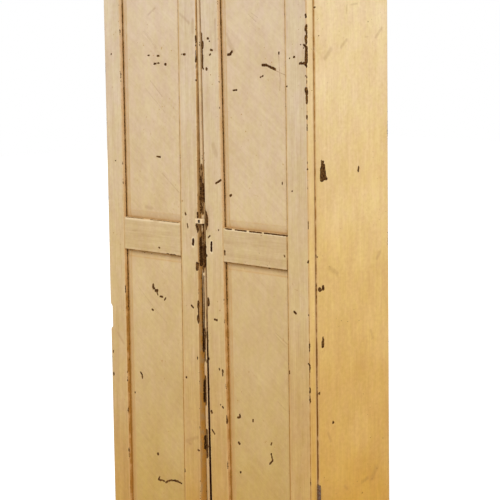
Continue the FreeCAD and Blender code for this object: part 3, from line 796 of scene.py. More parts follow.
# %% [markdown]
# ## Sweeping a section
#
# A section becomes a solid when it is repeated along a path. The ends need care: the first and the
# last rings draw in a little, so that the end's arris is round too. Where a ring lies in space is
# left to a function, so the same sweep makes a straight board, a stile whose edges lean, and a
# mitred moulding. The numbers that the materials read are stored here as attributes of the points.

# %% Rings
end_shrink = 0.9
end_softness = 1.5


def end_rings(length, radius, cell, stops=()):
    """Distances along the sweep, and how far each ring is drawn in."""
    arc = []
    for angle in (0.0, math.pi / 4):
        arc.append(
            (radius * (1 - math.cos(angle)), end_shrink * radius * (1 - math.sin(angle))))
    soft = radius * end_softness
    wanted = [soft - radius, length - soft - radius] + [stop - radius for stop in stops]
    middle = [radius + mark for mark in steps(length - 2 * radius, cell, wanted)]
    rings = arc + [(mark, 0.0) for mark in middle]
    rings += [(length - mark, inset) for mark, inset in reversed(arc)]
    return np.array(rings)


print("a board of 0.2 m has", len(end_rings(0.2, 0.0013, 0.01)), "rings in wide steps")

# %% [markdown]
# ## Marks
#
# Noise alone puts chips anywhere. The cupboard's own chips are where keys, hands and other
# furniture have struck it, so those are listed one by one: each mark is a stroke with a start, an
# end and a width, and a round one ends where it starts. Its depth is a number on each point of the
# mesh.

# %% Depth of a mark
mark_spread = 0.77
least_reach = 0.0031
mark_steepness = 1.5


def mark_depth(points, marks):
    """How deep each point lies in the nearest mark, from 0 outside it to 1 in its middle."""
    depth = np.zeros(len(points))
    for start, end, width in marks:
        run = end - start
        share = np.clip((points - start) @ run / max(run @ run, 1e-12), 0, 1)
        distance = np.linalg.norm(points - start - share[:, None] * run, axis=1)
        reach = max(width * mark_spread, least_reach)
        depth = np.maximum(depth, mark_steepness * (1 - distance / reach))
    return np.minimum(depth, 1)


print("the narrowest mark reaches", least_reach * 1000, "mm from its middle")

# %% Sweep
wobble_height = 0.00022
wobble_size = 0.11
chip_depth = 0.0005
arris_bite = 0.0016
chip_lump, chip_roughness = 0.006, 0.4
chip_start, chip_slope = 0.3, 4
probe_step = 1e-4
crease = math.radians(50)


def bitten(spots, normals, stored, seed):
    """The points after a slight wobble, and sunk where the paint is gone."""
    gone = np.clip((stored["chips"] - chip_start) * chip_slope, 0, 1)
    bite = chip_depth + arris_bite * stored["arris"] ** 2
    uneven = chip_roughness * lumps(spots, chip_lump, seed)
    sunk = gone * bite * (1 - chip_roughness + uneven)
    ripple = wobble_height * lumps(spots, wobble_size, seed)
    return spots + normals * (ripple - sunk)[:, None]


def ring_faces(ring_size, ring_count, spots, normals):
    """Four-sided faces between the rings and one face at each end, all looking outward."""
    index = np.arange(ring_size * ring_count).reshape(ring_count, ring_size)
    following = np.roll(index, -1, axis=1)
    quads = np.stack(
        [index[:-1], following[:-1], following[1:], index[1:]], axis=-1).reshape(-1, 4)
    caps = [index[0][::-1].tolist(), index[-1].tolist()]
    probe = quads[(ring_count // 2) * ring_size + ring_size // 8]
    facing = np.cross(spots[probe[1]] - spots[probe[0]], spots[probe[3]] - spots[probe[0]])
    if facing @ normals[probe[0]] < 0:
        quads = quads[:, ::-1]
        caps = [cap[::-1] for cap in caps]
    return quads.tolist() + caps


def sweep(name, section, rings, place, fields, marks=None, seed=1):
    """A closed mesh from a section and its rings.

    place turns distances (across, deep, along) into points. fields works out the attributes."""
    points, outward, sides = section
    along = rings[:, 0][:, None] + np.zeros(len(points))
    inset = rings[:, 1][:, None]
    across = points[:, 0] - inset * outward[:, 0]
    deep = points[:, 1] - inset * outward[:, 1]
    sides = np.broadcast_to(sides, across.shape)
    flat = [grid.ravel() for grid in (across, deep, along)]
    spots = place(*flat)
    ahead = np.broadcast_to(outward, (len(rings), *outward.shape)).reshape(-1, 2)
    pushed = place(
        flat[0] + probe_step * ahead[:, 0], flat[1] + probe_step * ahead[:, 1], flat[2])
    normals = (pushed - spots) / probe_step
    stored = fields(*flat, sides.ravel())
    for label, places in {"chips": (), "black": (), **(marks or {})}.items():
        stored[label] = np.maximum(stored.get(label, 0), mark_depth(spots, places))
    spots = bitten(spots, normals, stored, seed)

    mesh = bpy.data.meshes.new(name)
    mesh.from_pydata(spots.tolist(), [], ring_faces(len(points), len(rings), spots, normals))
    for label, values in stored.items():
        layer = mesh.attributes.new(label, "FLOAT", "POINT")
        layer.data.foreach_set("value", np.broadcast_to(values, len(spots)).astype(np.float32))
    mesh.shade_smooth()
    mesh.set_sharp_from_angle(angle=crease)
    return new_object(name, mesh)


print("chips are up to", chip_depth * 1000, "mm deep, and on an arris",
      (chip_depth + arris_bite) * 1000, "mm")

# %% [markdown]
# ## Boards
#
# With the sweep at hand, a board is a rectangle for its section and four corners for its show face.
# The corners are read from the construction, so a stile that leans stays leaning. Sides that butt
# against a neighbour have no worn arris there, and a dark line instead.

# %% Corners of a board
same_place = 1e-5
inward = (0, 1, 0)


def points_of(mesh):
    """The places of a mesh's points, as rows."""
    spots = np.zeros(len(mesh.vertices) * 3)
    mesh.vertices.foreach_get("co", spots)
    return spots.reshape(-1, 3)


def spots_of(node):
    return points_of(nodes[node].data)


def corners_of(face):
    """Corners of an upright face: low left, low right, high right and high left."""
    low = face[face[:, 2] < face[:, 2].min() + same_place]
    high = face[face[:, 2] > face[:, 2].max() - same_place]
    return [
        low[low[:, 0].argmin()], low[low[:, 0].argmax()],
        high[high[:, 0].argmax()], high[high[:, 0].argmin()]]


def front_of(node):
    """The points of a node that lie in its front face."""
    spots = spots_of(node)
    return spots[spots[:, 1] < spots[:, 1].min() + same_place]


def between_corners(corners, inward):
    """A place function for a board whose show face has these four corners."""
    c00, c10, c11, c01 = [np.array(corner, float) for corner in corners]
    width = (np.linalg.norm(c10 - c00) + np.linalg.norm(c11 - c01)) / 2
    length = (np.linalg.norm(c01 - c00) + np.linalg.norm(c11 - c10)) / 2
    inward = np.array(inward, float)

    def place(across, deep, along):
        s = (across / width)[:, None]
        t = (along / length)[:, None]
        face = (1 - t) * ((1 - s) * c00 + s * c10) + t * ((1 - s) * c01 + s * c11)
        return face + deep[:, None] * inward
    return place, width, length


stile_corners = corners_of(front_of("left_door_meeting_stile"))
print("the left meeting stile leans by",
      round((stile_corners[2][0] - stile_corners[1][0]) * 1000, 1), "mm")

# %% A hollow in an edge
hollow_ease = 0.010
hollow_reach = 0.03


def notched(place, low, high, deep):
    """Wears a hollow into the left edge of a board, between two heights."""
    def worn(across, inside, along):
        spots = place(across, inside, along)
        rise = np.clip((along - low) / hollow_ease, 0, 1)
        rise = rise * np.clip((high - along) / hollow_ease, 0, 1)
        fade = np.clip(1 - across / hollow_reach, 0, 1)
        spots[:, 0] += deep * rise * rise * (3 - 2 * rise) * fade
        return spots
    return worn


print("a hollow runs out over", hollow_ease * 1000, "mm")

# %% Boards
arris_radius = 0.0013
arris_reach = 0.007
joint_line = 0.0022
joint_dark = 0.75
edge_cell = 0.004
slot_cell = 0.1


def board_outline(width, thickness, groove, rebate):
    """Corners of a board's section, and the name of the side after each corner."""
    outline, labels = [(0, 0), (width, 0)], ["front", "right"]
    if groove and groove[0] in ("right", "both"):
        near, far, deep = groove[1:]
        outline += [(width, near), (width - deep, near), (width - deep, far), (width, far)]
        labels += ["slot", "slot", "slot", "right"]
    if rebate:
        wide, deep = rebate
        outline += [(width, thickness - deep), (width - wide, thickness - deep),
                    (width - wide, thickness), (0, thickness)]
        labels += ["slot", "slot", "back", "left"]
    else:
        outline += [(width, thickness), (0, thickness)]
        labels += ["back", "left"]
    if groove and groove[0] in ("left", "both"):
        near, far, deep = groove[1:]
        outline += [(0, far), (deep, far), (deep, near), (0, near)]
        labels += ["slot", "slot", "slot", "left"]
    return outline, labels


def board(
        name, corners, inward, thickness, cell=0.004, back_cell=0.02, groove=None, rebate=None,
        free_ends=True, bare=(), radius=arris_radius, grime=None, marks=None, notch=None,
        edges=None, seed=1):
    """A board. groove is (side, near, far, depth), with side "left", "right" or "both"."""
    place, width, length = between_corners(corners, inward)
    if notch:
        place = notched(place, *notch)
    outline, labels = board_outline(width, thickness, groove, rebate)
    cells = [{"front": cell, "back": back_cell, "slot": slot_cell}.get(
        label, min(cell, edge_cell)) for label in labels]
    names = np.array(labels)

    def fields(across, deep, along, sides):
        near = np.full(len(across), 1.0)
        for x, y in ((0, 0), (width, 0), (width, thickness), (0, thickness)):
            near = np.minimum(near, np.hypot(across - x, deep - y))
        ends = np.minimum(along, length - along)
        dirt_and_shade = np.zeros(len(across))
        if free_ends:
            near = np.minimum(near, ends)
        else:
            dirt_and_shade = joint_dark * np.exp(-(ends / joint_line) ** 2)
        if grime:
            dirt_and_shade = np.maximum(dirt_and_shade, grime(across, deep, along, width, length))
        found = {
            "arris": np.clip(1 - near / arris_reach, 0, 1), "grime": dirt_and_shade,
            "bare": np.isin(names[sides], bare).astype(float)}
        if edges:
            found.update(edges(across, deep, along, width))
        return found
    section = round_section(outline, radius, cells)
    rings = end_rings(length, radius if free_ends else radius / 4, cell)
    return sweep(name, section, rings, place, fields, marks, seed)


def dress(piece, body, slot, material, *replaced):
    """Gives a piece its material and its body, and hides the nodes that it stands for."""
    piece.data.materials.clear()
    piece.data.materials.append(material)
    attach(piece, body)
    if replaced:
        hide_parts(*replaced)
    print(piece.name, len(piece.data.polygons), "faces")
    return piece


print("boards have arrises of", arris_radius * 1000, "mm")

# %% [markdown]
# ## Where the paint is gone
#
# These are the marks that the cupboard carries, read off the photograph and given in millimetres:
# across from the cupboard's middle, up from the floor, and the width. A longer mark goes on with the
# place where it ends. On the side board the first number counts backward from the doors. Chips,
# soft stains, dirt, places that are rubbed pale and the black inside of the keyholes have a list
# each. The black inside of the keyholes is painted shade, a few chips are the painted shadow under
# the turn button, and the pale marks along the tops of the lock rails are partly painted highlight.

# %% Planes for the marks
door_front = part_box("left_door_hinge_stile")[0].y
panel_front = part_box("left_door_lower_panel")[0].y
strip_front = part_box("meeting_strip")[0].y
case_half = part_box("right_side")[1].x
side_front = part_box("right_side")[0].y


def strokes(plane, *places):
    """Marks on a plane, which is a function that turns two distances into a place."""
    marks = []
    for across, up, width, *end in places:
        start = np.array(plane(across * millimetre, up * millimetre))
        stop = np.array(plane(*[value * millimetre for value in end])) if end else start
        marks.append((start, stop, width * millimetre))
    return marks


def facing_front(depth):
    return lambda across, up: (across, depth, up)


def on_side(back, up):
    return case_half, side_front + back, up


print("the panels lie", round((panel_front - door_front) * 1000, 1), "mm behind the stiles")

# %% Marks of the doors
door_chips_and_shade = strokes(
    facing_front(door_front),
    # The left hinge stile
    (-372, 1455, 5), (-363, 1165, 4), (-393, 634, 4, -393, 630), (-393, 571, 5, -393, 566),
    # The left meeting stile
    (-72, 1456, 4), (-65, 1456, 5, -58, 1456), (-14, 1501, 7, -13, 1488),
    (-13, 1488, 4, -12, 1467), (-12, 1467, 6, -13, 1437), (-13, 1449, 7, -15, 1439),
    (-13, 1429, 5, -13, 1421), (-16, 1390, 5, -13, 1388), (-69, 1042, 5, -67, 1038),
    (-61, 1013, 3, -59, 1004), (-50, 798, 5, -43, 793), (-24, 911, 9, -25, 897),
    (-22, 810, 7, -23, 797), (-22, 794, 5, -22, 773), (-24, 770, 8, -24, 762),
    (-22, 762, 6, -23, 756), (-76, 602, 6), (-29, 662, 4, -29, 658), (-23, 525, 3),
    (-90, 349, 3, -90, 343), (-34, 412, 3, -28, 411), (-19, 1044, 7, -17, 1029),
    # In the next row, the chip at the keyhole darkens its inside as painted shade, and the last chip
    # is the painted shadow under the turn button.
    (-24, 1012, 7, -17, 995), (-38, 973, 8, -39, 961), (-26, 1019, 5, -16, 1018),
    # The right meeting stile
    (-10, 1342, 4, -10, 1335), (8, 1508, 7, 8, 1488), (11, 1485, 11, 11, 1475),
    (9, 1475, 8, 9, 1452), (10, 1452, 9, 9, 1425), (12, 1422, 4, 15, 1419), (27, 1419, 8),
    (32, 1497, 5, 36, 1497), (40, 1490, 4), (44, 1468, 5, 51, 1467), (39, 1455, 3, 44, 1457),
    (57, 1127, 5, 76, 1136), (43, 771, 5, 53, 770), (64, 1006, 4), (23, 984, 3, 30, 989),
    (17, 819, 12, 18, 809), (13, 803, 4, 14, 795), (12, 937, 6, 15, 936), (17, 664, 6),
    (58, 643, 3, 60, 640), (72, 640, 6, 73, 636), (72, 633, 4, 72, 626), (61, 548, 4),
    # The last chip of the next row darkens the right keyhole's inside as painted shade, and the
    # first chip of the row after it is the painted shadow under the turn button.
    (69, 544, 4, 73, 541), (24, 525, 7, 26, 522), (26, 476, 3, 36, 466), (35, 971, 7, 34, 951),
    (13, 1018, 6, 20, 1017), (86, 522, 4, 86, 514), (87, 512, 8, 87, 504),
    (13, 1047, 11, 18, 1032), (20, 1035, 7, 19, 1016), (15, 1024, 7, 14, 1006),
    (-11, 1158, 4, -11, 1126), (-12, 1121, 8, -12, 1077), (-12, 1074, 5, -13, 1053),
    # The left lock rail
    (-182, 941, 4, -179, 940), (-322, 1015, 3, -248, 1015), (-217, 1015, 3, -99, 1015),
    # The right hinge stile
    (329, 1380, 4), (340, 1449, 4), (354, 1452, 4, 358, 1452), (380, 1482, 4),
    (398, 1554, 5, 399, 1548), (398, 1524, 6, 397, 1517), (403, 1527, 10, 404, 1498),
    (397, 1503, 3), (397, 1498, 7, 400, 1486), (390, 1482, 5, 397, 1478), (390, 1474, 3),
    (400, 1474, 9, 398, 1440), (375, 1436, 5, 382, 1438), (382, 1436, 3, 393, 1437),
    (391, 1438, 6, 400, 1430), (396, 1407, 4), (401, 1395, 3, 401, 1390),
    (405, 1392, 3, 407, 1376), (397, 1375, 9, 399, 1365), (399, 1357, 7, 400, 1344),
    (399, 1342, 5, 405, 1339), (399, 1310, 5, 399, 1305), (402, 1209, 4),
    (400, 1181, 5, 404, 1180), (404, 1152, 4, 404, 1148), (404, 1126, 6, 404, 1118),
    (402, 1116, 4, 403, 1112), (401, 1052, 4, 401, 1035), (404, 965, 5, 403, 959),
    (399, 955, 5, 398, 952), (398, 821, 4), (347, 824, 6, 353, 821), (404, 760, 5, 404, 753),
    (403, 747, 9, 404, 733), (404, 727, 6, 405, 706), (396, 700, 3, 402, 697),
    (403, 695, 9, 404, 681), (404, 681, 7, 404, 660), (403, 638, 9, 403, 629),
    (404, 628, 7, 403, 614), (403, 609, 10, 404, 604), (327, 672, 3, 327, 666),
    (404, 491, 5, 404, 485), (344, 1124, 4), (409, 1001, 4, 409, 969),
    # The right lock rail
    (87, 954, 5, 87, 945), (313, 962, 3, 315, 959), (92, 1012, 4, 113, 1012),
    (129, 1012, 4, 171, 1012), (184, 1012, 3, 228, 1012), (240, 1012, 4, 324, 1012))
door_stains = strokes(
    facing_front(door_front),
    # The right meeting stile
    (64, 1544, 9, 63, 1468), (48, 1225, 17, 59, 1200), (17, 1050, 26, 20, 1006),
    # The left meeting stile
    (-75, 1560, 9, -40, 1537), (-25, 1544, 13, -26, 1514), (-83, 428, 11, -33, 446),
    (-79, 426, 6, -62, 423), (-19, 992, 12, -18, 916), (-21, 1047, 22, -18, 993),
    # The left hinge stile
    (-370, 687, 9, -345, 661),
    # The left lock rail
    (-297, 978, 4, -275, 980),
    # The right hinge stile
    (398, 1589, 4, 400, 983), (400, 983, 4, 402, 360))
pale_rubs_and_highlights = strokes(
    facing_front(door_front),
    # Round the keyholes
    (-38, 975, 11, -39, 958), (35, 972, 11, 34, 948),
    # Along the tops of the lock rails, worn paint and painted highlight
    (-322, 1010, 5, -205, 1011), (-180, 1011, 4, -92, 1011), (90, 1010, 5, 220, 1011),
    (238, 1011, 5, 325, 1011))
door_dirt = strokes(
    facing_front(door_front),
    # Round the turn button
    (16, 1042, 11, 17, 1014), (-19, 1028, 7, -17, 1002))
# The black inside the keyholes is painted shade.
inside_keyholes = strokes(
    facing_front(door_front), (-38, 973, 5, -39, 960), (35, 971, 5, 34, 950))
door_marks = {"chips": door_chips_and_shade, "stain": door_stains, "pale": pale_rubs_and_highlights,
              "grime": door_dirt, "black": inside_keyholes}
print("marks on the doors:", {kind: len(marks) for kind, marks in door_marks.items()})

# %% Marks of the panels
panel_chips = strokes(
    facing_front(panel_front),
    # The left upper panel
    (-334, 1592, 5, -333, 1575), (-223, 1452, 4, -217, 1452), (-184, 1451, 5, -177, 1451),
    (-198, 1430, 3, -189, 1431), (-182, 1432, 3, -177, 1432), (-152, 1429, 6, -148, 1429),
    (-194, 1184, 3, -179, 1183), (-102, 1011, 3, -97, 1011),
    # The left lower panel
    (-282, 922, 4, -273, 922), (-268, 921, 4, -255, 920), (-230, 921, 3, -224, 920),
    (-339, 897, 6, -338, 892), (-338, 873, 6, -339, 862), (-339, 847, 5, -338, 830),
    (-220, 835, 7, -220, 826), (-222, 828, 5, -215, 826), (-211, 820, 7, -202, 822),
    (-207, 820, 4, -201, 810), (-191, 806, 5, -181, 806), (-173, 799, 4, -168, 804),
    (-227, 767, 5, -222, 766), (-310, 528, 3, -310, 525), (-283, 586, 4, -277, 581),
    (-277, 581, 5, -276, 572), (-214, 369, 8), (-339, 223, 3), (-209, 306, 3, -214, 298),
    (-214, 298, 5, -207, 297), (-206, 297, 4, -197, 299), (-197, 299, 3, -189, 297),
    (-182, 295, 5, -173, 301), (-173, 301, 4, -160, 305), (-160, 305, 4, -145, 307),
    (-145, 307, 5, -130, 307), (-130, 307, 4, -115, 304),
    # The right upper panel
    (69, 1495, 4), (70, 1463, 3, 71, 1457), (70, 1430, 4, 71, 1407), (69, 1407, 5, 69, 1399),
    (68, 1396, 6), (101, 1456, 6, 112, 1457), (110, 1458, 6, 117, 1464),
    (231, 1431, 6, 246, 1431), (246, 1431, 5, 261, 1426), (261, 1426, 6, 278, 1421),
    (224, 1401, 4), (230, 1403, 4, 233, 1404), (292, 1463, 3, 292, 1459),
    (119, 1366, 3, 133, 1367), (102, 1097, 6, 106, 1099), (299, 1142, 3, 299, 1138),
    (73, 1039, 3, 73, 1035),
    # The right lower panel
    (244, 924, 6, 248, 924), (307, 928, 5, 315, 921), (71, 807, 6, 73, 804),
    (73, 768, 4, 75, 764), (77, 516, 6, 77, 499), (118, 521, 5, 126, 523),
    (127, 530, 5, 128, 524), (178, 524, 5, 178, 520), (121, 455, 6, 125, 453),
    (248, 475, 4, 246, 470), (246, 447, 4, 246, 444), (247, 441, 4, 252, 429),
    (249, 428, 4, 240, 419), (127, 378, 6), (81, 344, 4, 81, 340))
panel_stains = strokes(
    facing_front(panel_front),
    # The right upper panel
    (99, 1508, 11, 107, 1488), (105, 1488, 17, 121, 1468),
    # The left upper panel
    (-219, 1559, 6, -189, 1577), (-245, 1045, 11, -219, 1044),
    # The left lower panel
    (-259, 479, 6, -246, 473))
panel_marks = {"chips": panel_chips, "stain": panel_stains}
print("marks on the panels:", {kind: len(marks) for kind, marks in panel_marks.items()})

# %% Marks of the strip and the side
strip_dirt = strokes(
    facing_front(strip_front), (1, 1168, 9, 1, 1044), (0, 990, 16, 0, 905))
strip_chips_and_shade = strokes(
    facing_front(strip_front),
    # The first chip is the painted shadow under the turn button.
    (-9, 1018, 6, 9, 1018), (-1, 1172, 5, 0, 1160), (3, 1152, 4, 2, 1143), (-2, 1139, 6, -1, 1127),
    (5, 1072, 4, 5, 1064), (1, 1060, 6, 3, 1045), (-3, 1070, 5, -3, 1050), (7, 985, 5, 7, 940),
    (0, 1119, 12, 2, 1080), (4, 1012, 6, 3, 976), (5, 955, 17, 5, 913), (2, 910, 5, 2, 892),
    (2, 881, 4, 2, 818), (2, 818, 4, 1, 746), (2, 741, 7, 2, 688), (0, 680, 8, 0, 658),
    (1, 613, 8, 1, 541), (2, 469, 10, 3, 401))
strip_marks = {"grime": strip_dirt, "chips": strip_chips_and_shade}
side_chips = strokes(
    on_side,
    (22, 1198, 3, 27, 1192), (29, 1197, 3, 26, 1190), (23, 1191, 6, 24, 1181),
    (30, 1187, 7, 31, 1168), (24, 1178, 13, 24, 1154), (30, 1171, 11, 31, 1156),
    (20, 1159, 7, 21, 1151), (35, 1157, 7, 38, 1153), (150, 1175, 5, 149, 1166),
    (11, 882, 9, 13, 880), (24, 887, 7, 24, 881), (5, 962, 4), (22, 760, 4, 23, 751),
    (21, 749, 8, 21, 738), (7, 623, 4, 7, 619), (54, 543, 5, 55, 539), (2, 1571, 4, 5, 1571))
side_stains = strokes(
    on_side,
    (37, 1448, 13, 57, 1469), (92, 1474, 9, 111, 1491), (214, 1496, 9, 234, 1518),
    (174, 1498, 4, 184, 1497), (111, 1556, 5, 113, 1576), (127, 1577, 6, 148, 1579),
    (48, 931, 13, 72, 916), (191, 374, 17, 206, 398), (155, 370, 11, 176, 377),
    (36, 517, 9, 46, 495), (224, 955, 11, 213, 940), (190, 758, 9, 197, 737),
    (94, 371, 9, 101, 362))
side_marks = {"chips": side_chips, "stain": side_stains}
print(len(strip_chips_and_shade), "chips on the strip and", len(side_chips), "on the side")

# %% [markdown]
# ## The doors
#
# Each door is a frame of five boards round two panels. The frame's inner edges have a groove that
# runs right through, as a plough plane leaves it, and the panels' tongues stand in it. The outlines
# come from the construction, and so does the place of the groove, which is read off the tongue.

# %% Grooves
door_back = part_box("left_door_hinge_stile")[1].y
door_thick = door_back - door_front
door_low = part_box("left_door_meeting_stile")[0].z
groove_play = 0.0005


def tongue_planes(panel):
    """Front and back of a panel's tongue."""
    spots = spots_of(panel)
    edge = spots[spots[:, 2] < spots[:, 2].min() + same_place]
    return edge[:, 1].min(), edge[:, 1].max()


tongue_front, tongue_back = tongue_planes("left_door_lower_panel")
tongue_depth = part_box("left_door_hinge_stile")[1].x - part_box("left_door_lower_panel")[0].x
panel_depth = tongue_front - door_front
groove_sizes = (panel_depth, tongue_back - door_front, tongue_depth + groove_play)
print("a groove starts", round(panel_depth * 1000, 1), "mm behind the face and is",
      round(groove_sizes[2] * 1000, 1), "mm deep")

# %% [markdown]
# ## Dirt and painted shade on the edges of the doors' frames
#
# Where a panel meets its frame, dirt and painted shade lie in the corner and on the frame's narrow
# edge, and they are thickest below the lock rail. High up they are nearly black and ragged. The edge
# beside the hinges, which faces the light, has the yellow of the case, partly as painted light, with
# a dark line of painted shade at its back, beside the case. The edge in the gap beside the strip is
# brown all over and black in stretches, dirt with painted shade that deepens into the gap. Each
# function here says how much of this a point has.

# %% Dirt and painted shade on inner edges
edge_skin = 0.0006
face_skin = 0.001
nook_line, nook_line_share = 0.0032, 0.8
nook_haze, nook_haze_share = 0.009, 0.20
nook_strength = 0.9
edge_ground = 0.16
arris_dirt = (0.34, 0.0022)
shaded_arris = (0.85, 0.75, 0.0040)
shaded_below = 1.3
low_darkening = (0.98, 0.2)


def from_side(side, across, width):
    return across if side == "left" else width - across


def other_side(side):
    return "left" if side == "right" else "right"


def nook(distance):
    """Dirt and painted shade, thick in a corner and thinning out from it."""
    line = nook_line_share * np.exp(-(distance / nook_line) ** 2)
    return line + nook_haze_share * np.exp(-distance / nook_haze)


def edge_grime_and_shade(inner_side, upright_board=False, low_dark=0.56):
    """Dirt and painted shade on a frame's inner edge, thickest where the panel meets it and low
    down.

    On the right of a panel, which faces away from the light, the arris is painted dark as shade,
    too."""
    shaded = upright_board and inner_side == "left"
    sides = ("left", "right") if inner_side == "both" else (inner_side,)

    def grime(across, deep, along, width, length):
        up = door_low + along
        from_edge = np.minimum.reduce([from_side(side, across, width) for side in sides])
        strength, reach = arris_dirt
        if shaded:
            least, gain, reach = shaded_arris
            strength = least + gain * np.clip(shaded_below - up, 0, 1)
        on_arris = strength * np.exp(-(np.hypot(from_edge, deep) / reach) ** 2)
        low_down = np.clip((low_darkening[0] - up) / low_darkening[1], 0, 1) if upright_board else 0
        corner = nook_strength * nook(np.abs(panel_depth - deep))
        on_edge = edge_ground + low_dark * low_down + corner
        on_edge = np.where((from_edge < edge_skin) & (deep > face_skin), on_edge, 0)
        return np.maximum(on_edge, on_arris)
    return grime


print("inner edges are darkest below", low_darkening[0] - low_darkening[1], "m")

# %% Black in the corners of the panels
corner_dark = 0.70
corner_line = 0.0034
corner_heights = (0.62, 0.25)
least_corner = 0.4
black_share = 0.4


def black_corner(inner_side):
    """High up, the corner between a stile and a panel holds a ragged black line of chips and painted
    shade.
    """
    def black(across, deep, along, width):
        from_edge = from_side(inner_side, across, width)
        line = corner_dark * np.exp(-((panel_depth - deep) / corner_line) ** 2)
        start, rise = corner_heights
        line = line * np.clip((door_low + along - start) / rise, least_corner, 1)
        line = np.where((from_edge < edge_skin) & (deep < panel_depth + face_skin), line, 0)
        return {"chips": line, "black": black_share * np.sign(line)}
    return black


print("the black corners are full from", sum(corner_heights), "m upwards")

# %% The outer edge of a hinge stile
back_line_wide = 0.0030
front_line_middle = 0.0008
front_line_wide = 0.0012
front_line_top, front_line_fade, front_line_least = 1.5, 0.9, 0.5
outer_skin = 0.0016


def hinge_grime_and_shade(inner_side):
    """The outer edge gets dirt and painted shade at its back, by the case, and on its front arris.
    """
    inner = edge_grime_and_shade(inner_side, upright_board=True)

    def grime(across, deep, along, width, length):
        from_edge = from_side(other_side(inner_side), across, width)
        from_arris = np.hypot(from_edge, deep)
        back_line = np.exp(-((door_thick - deep) / back_line_wide) ** 2)
        front_line = np.exp(-((from_arris - front_line_middle) / front_line_wide) ** 2)
        fading = front_line_top - front_line_fade * (door_low + along)
        front_line = front_line * np.clip(fading, front_line_least, 1)
        outer = np.where(from_edge < outer_skin, np.maximum(back_line, front_line), 0)
        return np.maximum(outer, inner(across, deep, along, width, length))
    return grime


def hinge_bright(inner_side):
    """The outer edge faces the light like the case's sides and takes their yellow, partly as painted
    light.
    """
    corner = black_corner(inner_side)

    def bright(across, deep, along, width):
        from_edge = from_side(other_side(inner_side), across, width)
        on_edge = (from_edge < edge_skin) & (deep > face_skin)
        return {**corner(across, deep, along, width), "edge": on_edge.astype(float)}
    return bright


print("the dark line beside the case is about", back_line_wide * 1000, "mm wide")

# %% The edge of a meeting stile
black_ease = 0.014
black_onset = 0.006
meeting_dirt_and_shade = (0.50, 0.030, 0.95)

# Each row is a stretch of height, the depth where it starts, and how dark it is
black_stretches = (
    (1.030, 1.175, 0.004, 0.42), (0.895, 0.992, 0.001, 0.50), (0.665, 0.900, 0.009, 0.56),
    (0.530, 0.610, 0.010, 0.56), (0.400, 0.460, 0.010, 0.50), (0.000, 1.800, 0.014, 0.26))


def meeting_black(inner_side):
    """In the gap beside the strip, dirt and painted shade are black in stretches, from some depth
    inwards.
    """
    corner = black_corner(inner_side)

    def black(across, deep, along, width):
        on_edge = from_side(other_side(inner_side), across, width) < edge_skin
        up = door_low + along
        found = np.zeros(len(across))
        for low, high, start, dark in black_stretches:
            within = np.clip(np.minimum(up - low, high - up) / black_ease, 0, 1)
            inwards = np.clip((deep - start) / black_onset, 0, 1)
            found = np.maximum(found, dark * within * inwards)
        found = np.where(on_edge, found, 0)
        found = np.maximum(found, corner(across, deep, along, width)["chips"])
        return {"chips": found, "black": black_share * (found > 0),
                "edge": on_edge.astype(float)}
    return black


def meeting_grime_and_shade(inner_side):
    """The meeting edge has dirt, and painted shade that deepens into the gap, all over and on the
    arris too.
    """
    inner = edge_grime_and_shade(inner_side, upright_board=True, low_dark=0.36)
    least, full_depth, greatest = meeting_dirt_and_shade

    def grime(across, deep, along, width, length):
        from_edge = from_side(other_side(inner_side), across, width)
        dirt_and_shade = np.clip(least + deep / full_depth, 0, greatest)
        on_edge = np.where(from_edge < edge_skin, dirt_and_shade, 0)
        return np.maximum(on_edge, inner(across, deep, along, width, length))
    return grime


print("the gap is black in", len(black_stretches), "stretches")

# %% Door frames
stile_cell = 0.0026
meeting_cell = 0.0024
left_stile_notch = (0.590, 0.664, 0.0075)
grooved_sides = {"bottom_rail": "right", "lock_rail": "both", "top_rail": "left"}


def frame_board(door, part, cell, inner_side, material, grime, **more):
    """A stile, whose length runs up, or a rail, whose length runs to the right."""
    node = door + "_" + part
    corners = corners_of(front_of(node))
    if part.endswith("rail"):
        corners = [corners[0], corners[3], corners[2], corners[1]]
    piece = board(
        node + "_worn", corners, inward, door_thick, cell=cell, back_cell=0.02,
        groove=(inner_side, *groove_sizes), bare=("back",), grime=grime,
        marks=door_marks, seed=len(node), **more)
    return dress(piece, door, "door_paint", material, node)


for door, inner_side in (("left_door", "right"), ("right_door", "left")):
    meeting_side = other_side(inner_side)
    frame_board(
        door, "hinge_stile", stile_cell, inner_side, stile_paint, hinge_grime_and_shade(inner_side),
        notch=left_stile_notch if door == "left_door" else None,
        edges=hinge_bright(inner_side))
    frame_board(
        door, "meeting_stile", meeting_cell, meeting_side, meeting_paint,
        meeting_grime_and_shade(meeting_side), edges=meeting_black(meeting_side))
    for part, grooved_side in grooved_sides.items():
        frame_board(
            door, part, stile_cell, grooved_side, rail_paint, edge_grime_and_shade(grooved_side),
            free_ends=False)

# %% [markdown]
# ## The panels
#
# A panel is one wide board whose edges were planed down to a slope, so that they go into the
# groove, which leaves its middle raised. The height of the front follows one rule: it climbs with
# the distance from the nearest edge until it reaches the field. Where two slopes meet, the rule
# itself makes the mitre. Dirt and painted shade lie along the foot of the slopes, over them as a
# haze and beside the field, with other strengths on each side of the panel: most under the rail
# and on the left, where the light doesn't reach, and no haze on the right.

# %% Dirt and painted shade on a panel
haze_strength, haze_reach = 0.20, 0.007
band_strength, band_ease = 0.12, 0.004
field_line_strength, field_line_wide = 0.45, 0.0018


